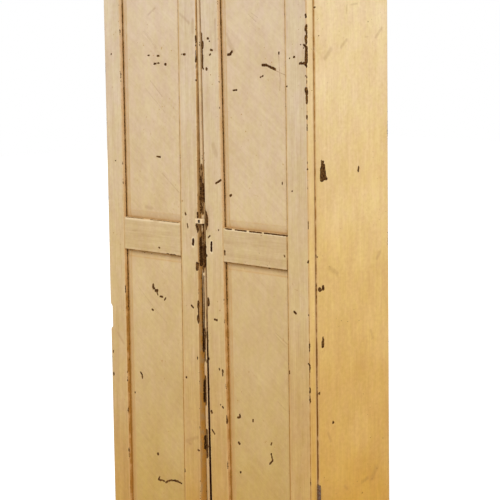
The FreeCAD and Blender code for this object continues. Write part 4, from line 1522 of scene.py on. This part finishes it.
def panel_dirt_and_shade(across, along, width, length, bottom, margin_end):
    """Dirt and painted shade along the four sides of a panel. bottom is the height of its lower
    edge.
    """
    dirt_and_shade = np.zeros(len(across))
    low_down = np.clip(shaded_below - bottom - along, 0, 1)
    # Each row is a distance from a side, how wide and how dark its line is, and the haze's share
    for gap, line_wide, line_dark, soft_share in (
            (across, 0.0034 + 0.0018 * low_down, 0.8, 1.0 + 0.4 * low_down),
            (length - along, 0.0042, 1.1, 0.9),
            (along, 0.0030, 0.4, 0.45),
            (width - across, 0.0065, 0.6 + 0.8 * low_down, 0.0)):
        inside = np.maximum(gap - tongue_depth, 0)
        haze = haze_strength * np.exp(-inside / haze_reach)
        band = band_strength * np.clip((margin_end - gap) / band_ease, 0, 1)
        line = field_line_strength * np.exp(-((gap - margin_end) / field_line_wide) ** 2)
        foot = line_dark * np.exp(-(inside / line_wide) ** 2)
        dirt_and_shade = np.maximum(dirt_and_shade, foot + soft_share * (haze + band + line))
    return dirt_and_shade


print("a panel's haze of dirt reaches about", haze_reach * 1000, "mm")

# %% Panels
panel_cell = 0.0026
panel_back_cell = 0.02
panel_edge_cell = 0.01
panel_radius = 0.0004
field_rub, field_rub_reach = 0.35, 0.003


def panel(node, material, body):
    foot = spots_of(node)
    foot = foot[np.abs(foot[:, 1] - tongue_front) < same_place]
    corners = corners_of(foot)
    bottom = corners[0][2]
    place, width, length = between_corners(corners, inward)
    thick = tongue_back - tongue_front
    field = front_of(node)
    rise = tongue_front - field[:, 1].min()
    margin_end = corners_of(field)[0][2] - bottom
    margin_start = tongue_depth + groove_play
    cells = [panel_cell, panel_edge_cell, panel_back_cell, panel_edge_cell]
    outline = [(0, 0), (width, 0), (width, thick), (0, thick)]
    stops, ring_stops = [
        [margin_start, margin_end, size - margin_end, size - margin_start]
        for size in (width, length)]
    section = round_section(outline, panel_radius, cells, stops)
    rings = end_rings(length, panel_radius, panel_cell, ring_stops)

    def edge_distance(across, along):
        return np.minimum.reduce([across, width - across, along, length - along])

    def raised(across, deep, along):
        climb = (edge_distance(across, along) - margin_start) / (margin_end - margin_start)
        lift = np.where(deep < thick / 2, rise * np.clip(climb, 0, 1), 0)
        return place(across, deep - lift, along)

    def fields(across, deep, along, sides):
        dirt_and_shade = panel_dirt_and_shade(across, along, width, length, bottom, margin_end)
        near = np.abs(edge_distance(across, along) - margin_end)
        rub = field_rub * np.clip(1 - near / field_rub_reach, 0, 1)
        return {"arris": rub * (sides == 0), "grime": dirt_and_shade * (sides == 0),
                "bare": (sides == 2).astype(float)}
    piece = sweep(
        node + "_worn", section, rings, raised, fields, panel_marks, seed=len(node))
    return dress(piece, body, "door_paint", material, node)


for door in ("left_door", "right_door"):
    for part in ("lower_panel", "upper_panel"):
        panel(door + "_" + part, panel_paint, door)

# %% [markdown]
# ## The sides, the plinth and the frieze
#
# The case is made of the same boards as the doors. The right side is the second large face of the
# photograph. Its rear arris on the inside has a rebate, in which the boards of the back lie. Inside,
# the wood was never painted. Dust lies at the foot of a side, a dark line of dirt and painted shade
# runs beside the doors, and another dark line runs at the back.

# %% Dirt and painted shade on the sides
foot_dark, foot_reach = 0.35, 0.035
front_dark, front_dark_gain = 0.80, 0.20
front_wide, front_wide_gain = 0.0030, 0.0014
rear_dark, rear_reach = 0.55, 0.005
rear_top, rear_fade, rear_least = 1.2, 0.8, 0.2


# Dust at the foot, a line of dirt and painted shade beside the doors, and a dark line at the back.
def side_grime_and_shade(across, deep, along, width, length):
    low_down = np.clip(shaded_below - along, 0, 1)
    foot = foot_dark * np.exp(-along / foot_reach)
    line_dark = front_dark + front_dark_gain * low_down
    line_wide = front_wide + front_wide_gain * low_down
    front = line_dark * np.exp(-(across / line_wide) ** 2)
    fading = np.clip(rear_top - along / rear_fade, rear_least, 1)
    rear = rear_dark * np.exp(-(width - across) / rear_reach) * fading
    return np.maximum.reduce([foot, front, rear])


print("the line beside the doors is up to", round(
    (front_wide + front_wide_gain) * 1000, 1), "mm wide")

# %% Painted boards of the case
side_cell = 0.0032
level_cell = 0.006
case_back_cell = 0.03
back_low, back_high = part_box("back_board_1")
rebate_wide = back_high.y - back_low.y
rebate_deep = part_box("left_side")[1].x - back_low.x


def side_board(node):
    low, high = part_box(node)
    outer, towards = (high.x, -1) if high.x > 0 else (low.x, 1)
    corners = [(outer, low.y, low.z), (outer, high.y, low.z), (outer, high.y, high.z),
               (outer, low.y, high.z)]
    piece = board(
        node + "_worn", corners, (towards, 0, 0), high.x - low.x, cell=side_cell,
        back_cell=case_back_cell, rebate=(rebate_wide, rebate_deep), bare=("back", "slot"),
        grime=side_grime_and_shade, marks=side_marks, seed=3 if outer > 0 else 4)
    return dress(piece, "case", "case_paint", case_paint, node)


def level_board(node, **more):
    """A board that runs from left to right and shows its front."""
    low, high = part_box(node)
    corners = [(low.x, low.y, low.z), (low.x, low.y, high.z), (high.x, low.y, high.z),
               (high.x, low.y, low.z)]
    piece = board(
        node + "_worn", corners, inward, high.y - low.y, cell=level_cell,
        back_cell=case_back_cell, bare=("back",), seed=len(node), **more)
    return dress(piece, "case", "case_paint", case_level_paint, node)


side_board("left_side")
side_board("right_side")
level_board("frieze_rail", free_ends=False)
level_board("plinth_front")

# %% The strip between the doors
strip_low, strip_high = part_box("meeting_strip")
strip_cell = 0.0022
strip_radius = 0.0009
strip_skin = 0.0004
strip_black_top, strip_black_ease = 0.85, 0.30
gap_start, gap_start_gain = 0.0040, 0.002
gap_brown = 0.8


def strip_edges(across, deep, along, width):
    """In the gaps beside the strip, dirt and painted shade are brown high up and black low down."""
    low_down = np.clip((strip_black_top - strip_low.z - along) / strip_black_ease, 0, 1)
    on_edge = np.minimum(across, width - across) < strip_skin
    inside = on_edge & (deep > gap_start - gap_start_gain * low_down)
    black = np.where(inside, low_down, 0)
    return {"chips": black, "black": black, "grime": gap_brown * inside}


strip_piece = board(
    "meeting_strip_worn", corners_of(front_of("meeting_strip")), inward,
    strip_high.y - strip_low.y, cell=strip_cell, marks=strip_marks, edges=strip_edges, seed=9,
    radius=strip_radius)
dress(strip_piece, "case", "case_paint", strip_paint, "meeting_strip")

# %% [markdown]
# ## The cornice
#
# A moulding is planed along a board and then mitred at its corners. The rear end of a return is cut
# square, so its outline is the moulding's true section. The edges of that end face are chained into
# a section, which is swept along each of the three lengths, with its ends running along the mitre.

# %% Section of the moulding
same_plane = 1e-6
least_bend = 1e-9


def square_end(node):
    """The outline of a node's end face that looks backward, from its mesh."""
    mesh = nodes[node].data
    spots = spots_of(node)
    end = spots[:, 1].max()
    keys = {}
    names = [keys.setdefault(tuple(np.round(spot, 6)), len(keys)) for spot in spots]
    places = {name: spot for name, spot in zip(names, spots)}
    edges = {}
    for face in mesh.polygons:
        if all(abs(spots[corner, 1] - end) < same_plane for corner in face.vertices):
            ring = [names[corner] for corner in face.vertices]
            for first, second in zip(ring, ring[1:] + ring[:1]):
                pair = frozenset((first, second))
                edges[pair] = edges.get(pair, 0) + 1
    border = [set(pair) for pair, count in edges.items() if count == 1]
    chain = list(border.pop())
    while border:
        found = next(pair for pair in border if chain[-1] in pair)
        border.remove(found)
        found.remove(chain[-1])
        chain.append(found.pop())
    return [places[name] for name in chain[:-1]]


def straightened(outline):
    """The outline without points that lie on a straight run, going counter-clockwise."""
    kept = []
    for index, spot in enumerate(outline):
        before = spot - outline[index - 1]
        after = outline[(index + 1) % len(outline)] - spot
        if abs(before[0] * after[1] - before[1] * after[0]) > least_bend:
            kept.append(spot)
    following = kept[1:] + kept[:1]
    area = sum(a[0] * b[1] - a[1] * b[0] for a, b in zip(kept, following))
    return kept if area > 0 else kept[::-1]


moulding = [np.array((spot[0] - case_half, spot[2])) for spot in square_end("right_cornice")]
moulding = straightened(moulding)
print("moulding of", len(moulding), "corners, standing out",
      round(max(corner[0] for corner in moulding) * 1000, 1), "mm")

# %% Three lengths of moulding
cornice_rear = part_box("right_cornice")[1].y
moulding_low = min(corner[0] for corner in moulding)
moulding_radius, moulding_cell = 0.0009, 0.005
run_radius, run_cell = 0.0004, 0.006
hollow_dirt, hollow_wide = 0.30, 0.03
moulding_wear, moulding_wear_reach = 0.8, 0.005
wall_side = 0.0005


def cornice_length(node, place, length, mitres, seed):
    section = round_section(moulding, moulding_radius, [moulding_cell] * len(moulding))
    rings = end_rings(length, run_radius, run_cell)

    def mitred(out, height, along):
        share = along / length
        start = -out * mitres[0] * (1 - share)
        end = out * mitres[1] * share
        return place(out, height, along + start + end)

    def fields(out, height, along, sides):
        near = np.full(len(out), 1.0)
        for corner in moulding:
            near = np.minimum(near, np.hypot(out - corner[0], height - corner[1]))
        wear = moulding_wear * np.clip(1 - near / moulding_wear_reach, 0, 1)
        hollow = np.clip(1 - (out - moulding_low) / hollow_wide, 0, 1)
        dirt_and_shade = hollow_dirt * hollow * (height > moulding[0][1])
        return {"arris": wear, "grime": dirt_and_shade, "bare": (out < wall_side).astype(float)}
    piece = sweep(node + "_worn", section, rings, mitred, fields, seed=seed)
    return dress(piece, "case", "case_paint", case_level_paint, node)


def front_run(out, height, along):
    return np.stack([along - case_half, side_front - out, height], axis=1)


def side_run(sign):
    """Places along a return. sign is 1 on the right and -1 on the left."""
    def run(out, height, along):
        return np.stack([sign * (case_half + out), side_front + along, height], axis=1)
    return run


cornice_length("front_cornice", front_run, 2 * case_half, (1, 1), 11)
return_length = cornice_rear - side_front
cornice_length("right_cornice", side_run(1), return_length, (1, 0), 12)
cornice_length("left_cornice", side_run(-1), return_length, (1, 0), 13)

# %% [markdown]
# ## Shelves, cleats and blocks
#
# Inside there are many plain boards that differ only in size. Geometry Nodes can make them all with
# one tree. It puts a small cube with three parts to each side on every point, and then moves the
# cube's points: outer ones to the board's faces and inner ones one arris short of them. The size is
# read from an attribute of the point, so that each board has its own, and all have the same arris.

# %% Helpers for trees


def stored(tree, geometry, name, value):
    return add(
        tree, "GeometryNodeStoreNamedAttribute",
        {"Geometry": geometry, "Name": name, "Value": value}, data_type="FLOAT_VECTOR").outputs[0]


def named(tree, name):
    return add(
        tree, "GeometryNodeInputNamedAttribute", {"Name": name},
        data_type="FLOAT_VECTOR").outputs[0]


def new_tree(name, inputs, output):
    """An empty geometry tree with named sockets. Inputs are (name, kind)."""
    tree = bpy.data.node_groups.new(name, "GeometryNodeTree")
    for label, kind in inputs:
        socket(tree, label, kind)
    socket(tree, output, "Geometry", "OUTPUT")
    entry = tree.nodes.new("NodeGroupInput").outputs
    return tree, entry, tree.nodes.new("NodeGroupOutput")


def realized(tree, points, piece, **more):
    """The piece on every point, as real mesh."""
    made = add(
        tree, "GeometryNodeInstanceOnPoints",
        {"Points": points, "Instance": piece, **more}).outputs[0]
    return add(tree, "GeometryNodeRealizeInstances", {0: made}).outputs[0]


def end_tree(tree, leave, geometry, finish):
    made = add(tree, "GeometryNodeSetMaterial", {"Geometry": geometry, "Material": finish})
    tree.links.new(made.outputs[0], leave.inputs[0])


print("helpers for trees ready")

# %% Tree for the boards inside
cube_parts = 4
edge_rounding = 0.293
corner_rounding = 0.42

tree, entry, leave = new_tree(
    "rounded boards",
    [("Middles", "Geometry"), ("Arris", "Float"), ("Finish", "Material")], "Boards")
position = add(tree, "GeometryNodeInputPosition").outputs[0]
cube = add(
    tree, "GeometryNodeMeshCube",
    {"Size": (2, 2, 2), "Vertices X": cube_parts, "Vertices Y": cube_parts,
     "Vertices Z": cube_parts}).outputs[0]
cube = stored(tree, cube, "local", position)
middles = stored(tree, entry["Middles"], "middle", position)
boards = realized(tree, middles, cube)
local = named(tree, "local")
sign = vectors(tree, "SIGN", local)
outer = vectors(tree, "ADD", vectors(tree, "ABSOLUTE", local), (0.5, 0.5, 0.5))
outer = vectors(tree, "FLOOR", outer)
inner = vectors(tree, "SUBTRACT", (1, 1, 1), outer)
count = vectors(tree, "DOT_PRODUCT", outer, (1, 1, 1))
rounding = times(tree, minus(tree, count, 1.0), edge_rounding)
rounding = maths(tree, "MINIMUM", rounding, corner_rounding)
rounding = times(tree, rounding, entry["Arris"])
drawn_in = scaled(tree, inner, entry["Arris"])
reach = vectors(tree, "SUBTRACT", named(tree, "half size"), drawn_in)
reach = vectors(tree, "SUBTRACT", reach, scaled(tree, outer, rounding))
spot = vectors(tree, "ADD", named(tree, "middle"), vectors(tree, "MULTIPLY", sign, reach))
boards = add(
    tree, "GeometryNodeSetPosition", {"Geometry": boards, "Position": spot}).outputs[0]
end_tree(tree, leave, boards, entry["Finish"])
rounded_boards = tree
say_size(tree)

# %% From a tree to a mesh


def grown(name, points, attributes, tree, inputs):
    """Runs a tree on points and keeps the result as a plain mesh."""
    seeds = bpy.data.meshes.new(name + "_points")
    seeds.from_pydata([tuple(point) for point in points], [], [])
    for label, rows in attributes.items():
        layer = seeds.attributes.new(label, "FLOAT_VECTOR", "POINT")
        layer.data.foreach_set("vector", np.array(rows, float).ravel())
    made = new_object(name, seeds)
    modifier = made.modifiers.new("grow", "NODES")
    modifier.node_group = tree
    for item in tree.interface.items_tree:
        if item.item_type == "SOCKET" and item.name in inputs:
            modifier[item.identifier] = inputs[item.name]
    return settled(made)


def settled(made):
    """The object with its modifiers turned into mesh."""
    ready = made.evaluated_get(bpy.context.evaluated_depsgraph_get())
    mesh = bpy.data.meshes.new_from_object(ready)
    made.modifiers.clear()
    made.data = mesh
    mesh.shade_smooth()
    mesh.set_sharp_from_angle(angle=crease)
    return made


print("a tree's result becomes a plain mesh")

# %% Boards inside
inner_arris = 0.0012


def solids_of(node):
    """Lowest and highest corners of each separate solid of a node."""
    shell = bmesh.new()
    shell.from_mesh(nodes[node].data)
    bmesh.ops.remove_doubles(shell, verts=shell.verts, dist=same_plane)
    waiting = set(shell.verts)
    boxes = []
    while waiting:
        first = waiting.pop()
        group, edge = [first], [first]
        while edge:
            for link in edge.pop().link_edges:
                for other in link.verts:
                    if other in waiting:
                        waiting.remove(other)
                        group.append(other)
                        edge.append(other)
        spots = np.array([vert.co for vert in group])
        boxes.append((spots.min(axis=0), spots.max(axis=0)))
    shell.free()
    boxes.sort(key=lambda box: (round(box[0][2], 4), round(box[0][0], 4), round(box[0][1], 4)))
    return boxes


def inner_boards(name, parts, material, trim=0.0):
    """Rounded boards for every solid of some nodes. trim cuts both ends of a level board."""
    boxes = [box for node in parts for box in solids_of(node)]
    middles = [(low + high) / 2 for low, high in boxes]
    halves = [(high - low) / 2 - np.array((trim, 0, 0)) for low, high in boxes]
    piece = grown(
        name, middles, {"half size": halves}, rounded_boards,
        {"Arris": inner_arris, "Finish": material})
    return dress(piece, "case", "bare_pine", material, *parts)


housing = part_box("bottom_board")[1].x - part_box("right_side")[0].x
shelf_nodes = [f"{side}_shelf_{number}" for side in ("left", "right") for number in range(1, 5)]
inner_boards("shelves", shelf_nodes, pine_level)
inner_boards("cleats", ["left_cleats", "right_cleats"], pine_level)
inner_boards("bottom", ["bottom_board"], pine_level, trim=housing)
inner_boards("top", ["top_board"], pine_level)
inner_boards("plinth_blocks", ["plinth_back", "corner_blocks"], pine_level)

# %% [markdown]
# ## Screws and nails
#
# The hinges and locks are held by screws with a single slot, and the back by nails. Only their heads
# show. One tree makes both: a thin cylinder whose top is pushed up into a low dome, with a slot cut
# out where one is asked for. No two slots point the same way, because nobody lined them up.

# %% Tree for round heads
head_sides = 20
head_rings = 3
slot_overrun = 2.4


def domed_head(tree, entry):
    """A thin cylinder whose upper face is a low dome."""
    head = add(
        tree, "GeometryNodeMeshCylinder",
        {"Vertices": head_sides, "Side Segments": 1, "Fill Segments": head_rings,
         "Radius": entry["Radius"], "Depth": entry["Height"]}).outputs[0]
    position = add(tree, "GeometryNodeInputPosition").outputs[0]
    flat = vectors(tree, "MULTIPLY", position, (1, 1, 0))
    share = maths(tree, "DIVIDE", vectors(tree, "LENGTH", flat), entry["Radius"])
    lift = times(tree, minus(tree, 1.0, times(tree, share, share)), entry["Dome"])
    above = maths(tree, "GREATER_THAN", height_of(tree, position), 0.0)
    lift = times(tree, lift, above)
    lift = minus(tree, lift, times(tree, above, entry["Dome"]))
    return add(
        tree, "GeometryNodeSetPosition",
        {"Geometry": head, "Offset": vector_of(tree, z=lift)}).outputs[0]


def with_slot(tree, entry, head):
    """The head after a bar across its top is cut out of it."""
    length = times(tree, entry["Radius"], slot_overrun)
    height = times(tree, entry["Slot Depth"], 2.0)
    bar_size = vector_of(tree, length, entry["Slot Width"], height)
    bar = add(tree, "GeometryNodeMeshCube", {"Size": bar_size}).outputs[0]
    top = vector_of(tree, z=times(tree, entry["Height"], 0.5))
    bar = add(
        tree, "GeometryNodeTransform", {"Geometry": bar, "Translation": top}).outputs[0]
    return add(
        tree, "GeometryNodeMeshBoolean", {"Mesh 1": head, "Mesh 2": bar},
        operation="DIFFERENCE").outputs[0]


sizes = [(name, "Float") for name in ("Radius", "Height", "Dome", "Slot Width", "Slot Depth")]
tree, entry, leave = new_tree(
    "round heads",
    [("Places", "Geometry"), *sizes, ("Slotted", "Bool"), ("Finish", "Material")], "Heads")
head = domed_head(tree, entry)
head = add(
    tree, "GeometryNodeSwitch",
    {"Switch": entry["Slotted"], "False": head, "True": with_slot(tree, entry, head)},
    input_type="GEOMETRY").outputs[0]
facing = add(tree, "FunctionNodeEulerToRotation", {0: named(tree, "facing")}).outputs[0]
placed = realized(tree, entry["Places"], head, Rotation=facing)
end_tree(tree, leave, placed, entry["Finish"])
round_heads = tree
say_size(tree)

# %% Heads of screws and nails
screw_height, screw_dome = 0.0022, 0.0001
nail_height, nail_dome = 0.0009, 0.0003
strip_nail_dome, strip_nail_proud = 0.0002, 0.0003
slot_size = 0.0009


def heads(name, node, body, facing_back, material, height, slotted, dome, proud=0.0, seed=5):
    """Heads for every screw or nail of a node."""
    spread = np.random.default_rng(seed)
    places, turns = [], []
    boxes = solids_of(node)
    for low, high in boxes:
        middle = (low + high) / 2
        top = high[1] + proud if facing_back else low[1] - proud
        middle[1] = top - height / 2 if facing_back else top + height / 2
        places.append(middle)
        turn = -math.pi / 2 if facing_back else math.pi / 2
        turns.append((turn, spread.uniform(0, math.pi), 0))
    low, high = boxes[0]
    piece = grown(
        name, places, {"facing": turns}, round_heads,
        {"Radius": float(high[0] - low[0]) / 2, "Height": height, "Dome": dome,
         "Slot Width": slot_size, "Slot Depth": slot_size, "Slotted": slotted,
         "Finish": material})
    return dress(piece, body, "fastener_steel", material, node)


for body, facing_back, seed in (
        ("case", False, 5), ("left_door", True, 6), ("right_door", True, 7)):
    heads(body + "_screw_heads", body + "_screws", body, facing_back, screw_steel,
          screw_height, True, screw_dome, seed=seed)
heads("back_nail_heads", "back_nails", "case", True, screw_steel, nail_height, False, nail_dome)
heads("strip_nail_heads", "strip_nails", "case", False, strip_paint, nail_height, False,
      strip_nail_dome, proud=strip_nail_proud)

# %% [markdown]
# ## Keyholes
#
# A keyhole is a round hole with a slot below it, cut right through the stile. The board of the stile
# has no such hole yet. A Boolean modifier takes it out with a cutter, whose outline is read from the
# construction, so that the lock behind meets it.

# %% Cutting holes
rim_deep = 0.0005
rim_dark = 0.65
rim_slack = 1e-4


def prism(outline, *depths):
    """A closed cutter, from an outline in the plane of the doors and its depths in order."""
    count = len(outline)
    spots = [(x, y, z) for y in depths for x, z in outline]
    last = (len(depths) - 1) * count
    faces = [tuple(range(count)), tuple(range(last + count - 1, last - 1, -1))]
    for ring in range(0, last, count):
        for index in range(count):
            after = (index + 1) % count
            faces.append((ring + index, ring + index + count, ring + after + count,
                          ring + after))
    mesh = bpy.data.meshes.new("cutter")
    mesh.from_pydata(spots, [], faces)
    shell = bmesh.new()
    shell.from_mesh(mesh)
    bmesh.ops.recalc_face_normals(shell, faces=shell.faces)
    shell.to_mesh(mesh)
    shell.free()
    return new_object("cutter", mesh)


def cut_out(piece, outline, low, high, face):
    """Cuts a hole whose walls are painted dark as shade from just behind the face."""
    cutter = prism(outline, low, face + rim_deep, high)
    modifier = piece.modifiers.new("hole", "BOOLEAN")
    modifier.object = cutter
    modifier.operation = "DIFFERENCE"
    modifier.solver = "EXACT"
    settled(piece)
    bpy.data.objects.remove(cutter)
    spots = points_of(piece.data)
    rim = np.array(outline)
    low_rim, high_rim = rim.min(axis=0) - rim_slack, rim.max(axis=0) + rim_slack
    within = ((spots[:, [0, 2]] > low_rim) & (spots[:, [0, 2]] < high_rim)).all(axis=1)
    for label, value in (("chips", 1), ("black", 1), ("bare", 0)):
        values = np.zeros(len(spots), np.float32)
        piece.data.attributes[label].data.foreach_get("value", values)
        values[within] = rim_dark * value
        values[within & (spots[:, 1] > face + rim_deep - rim_slack)] = value
        piece.data.attributes[label].data.foreach_set("value", values)
    print("hole in", piece.name, "leaves", len(piece.data.polygons), "faces")


print("walls of holes are darkest from", rim_deep * 1000, "mm behind the face")

# %% Keyholes
keyhole_low, keyhole_high = 0.9, 1.05
cut_past = 0.003


def keyhole_outline(node):
    """Points of the keyhole on a stile's front, in order round its middle."""
    front = front_of(node)
    inside = (front[:, 2] > keyhole_low) & (front[:, 2] < keyhole_high)
    inside = front[inside][:, [0, 2]]
    inside = np.unique(np.round(inside, 6), axis=0)
    middle = inside.mean(axis=0)
    angle = np.arctan2(inside[:, 1] - middle[1], inside[:, 0] - middle[0])
    return [tuple(spot) for spot in inside[np.argsort(angle)]]


for door in ("left_door", "right_door"):
    outline = keyhole_outline(door + "_meeting_stile")
    cut_out(bpy.data.objects[door + "_meeting_stile_worn"], outline, door_front - cut_past,
            door_back + cut_past, door_front)

# %% [markdown]
# ## The turn button
#
# A small block of wood turns on a screw in the strip and holds the doors shut. It has been painted
# with the doors, and years of fingers have rounded it more than anything else.

# %% Turn button
button_cell, button_back_cell = 0.0012, 0.002
button_radius = 0.0016
well_sides = 24
well_room = 1.04
well_deep = 0.0035
button_low, button_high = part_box("turn_button")
button_corners = [
    (button_low.x, button_low.y, button_low.z), (button_high.x, button_low.y, button_low.z),
    (button_high.x, button_low.y, button_high.z), (button_low.x, button_low.y, button_high.z)]
button = board(
    "turn_button_worn", button_corners, inward, button_high.y - button_low.y,
    cell=button_cell, back_cell=button_back_cell, radius=button_radius, seed=21)
screw_low, screw_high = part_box("turn_button_screw")
screw_middle = (screw_low + screw_high) / 2
well_radius = (screw_high.x - screw_low.x) / 2 * well_room
well = []
for step in range(well_sides):
    angle = 2 * math.pi * step / well_sides
    well.append((screw_middle.x + well_radius * math.cos(angle),
                 screw_middle.z + well_radius * math.sin(angle)))
cut_out(button, well, button_low.y - cut_past, button_low.y + well_deep, button_low.y)
dress(button, "turn_button", "button_paint", button_paint, "turn_button")

# %% [markdown]
# ## Iron and bare boards that stay as they are
#
# The leaves and pins of the hinges, the locks and their bolts already have their true shape, and so
# do the lapped boards of the back and the partition. They keep the meshes of the construction and
# get the materials made above. Each board of the back gets a pine of its own.

# %% Materials of the kept pieces


def finish_node(node, material):
    slots = nodes[node].material_slots
    for place in slots:
        place.material = material
    if not slots:
        nodes[node].data.materials.append(material)


for node in nodes:
    if "hinge_leaves" in node or node == "hinge_pins":
        finish_node(node, hinge_iron)
    elif "lock_case" in node or "lock_bolt" in node:
        finish_node(node, lock_iron)
    elif node.startswith("back_board"):
        finish_node(node, back_pines[int(node[-1]) - 1])
    elif node == "partition":
        finish_node(node, pine_upright)
    elif node in ("turn_button_screw", "turn_button_washer"):
        finish_node(node, screw_steel)
print("hinges, locks, back boards and the partition have their materials")

# %% [markdown]
# ## Light, floor and background
#
# The photograph has soft light from the upper right, in front, on a white background. A world of one
# plain strength gives the soft part, and a sun with a wide disc the rest, so that a pale colour
# shows about as it is written. Only the camera and reflections see the world as white.

# %% Window light
sun_strength = 1.85
sun_disc = math.radians(28)
sun_colour = (1.0, 0.985, 0.955)
light_from = Vector((0.75, -0.85, 1.0)).normalized()
sun_data = bpy.data.lights.new("window", "SUN")
sun_data.energy = sun_strength
sun_data.angle = sun_disc
sun_data.color = sun_colour
sun = new_object("window", sun_data)
sun.rotation_euler = light_from.to_track_quat("Z", "Y").to_euler()
print("the window light comes from", [round(part, 2) for part in light_from])

# %% Light all round
ambient = 0.52
room = bpy.data.worlds.new("room")
bpy.context.scene.world = room
room.use_nodes = True
room_tree = room.node_tree
seen = add(room_tree, "ShaderNodeLightPath").outputs
plainly = most(room_tree, seen["Is Camera Ray"], seen["Is Glossy Ray"])
plainly = most(room_tree, plainly, seen["Is Transmission Ray"])
strength = between(room_tree, plainly, 0.0, 1.0, ambient, 1.0, kind="LINEAR")
sky = room_tree.nodes["Background"]
sky.inputs["Color"].default_value = white
give(room_tree, sky, Strength=strength)
print("the world shines with", ambient, "of its white")

# %% Floor
floor_reach = 14.0
floor_tone = 0.86
floor_glow = 0.55
floor_roughness = 0.9
floor_mesh = bpy.data.meshes.new("floor")
floor_mesh.from_pydata(
    [(-floor_reach, -floor_reach, 0), (floor_reach, -floor_reach, 0),
     (floor_reach, floor_reach, 0), (-floor_reach, floor_reach, 0)], [], [(0, 1, 2, 3)])
floor = new_object("floor", floor_mesh)
floor_paper = bpy.data.materials.new("floor paper")
floor_paper.use_nodes = True
floor_tree = floor_paper.node_tree
paper = floor_tree.nodes["Principled BSDF"]
paper.inputs["Base Color"].default_value = (floor_tone, floor_tone, floor_tone, 1)
paper.inputs["Roughness"].default_value = floor_roughness
paper.inputs["Specular IOR Level"].default_value = 0.0
paper.inputs["Emission Color"].default_value = white
looked_at = add(floor_tree, "ShaderNodeLightPath").outputs["Is Camera Ray"]
give(floor_tree, paper, Emission_Strength=times(floor_tree, looked_at, floor_glow))
floor_mesh.materials.append(floor_paper)

bpy.context.scene.view_settings.view_transform = "Standard"
print("the floor reaches", floor_reach, "m to each side")
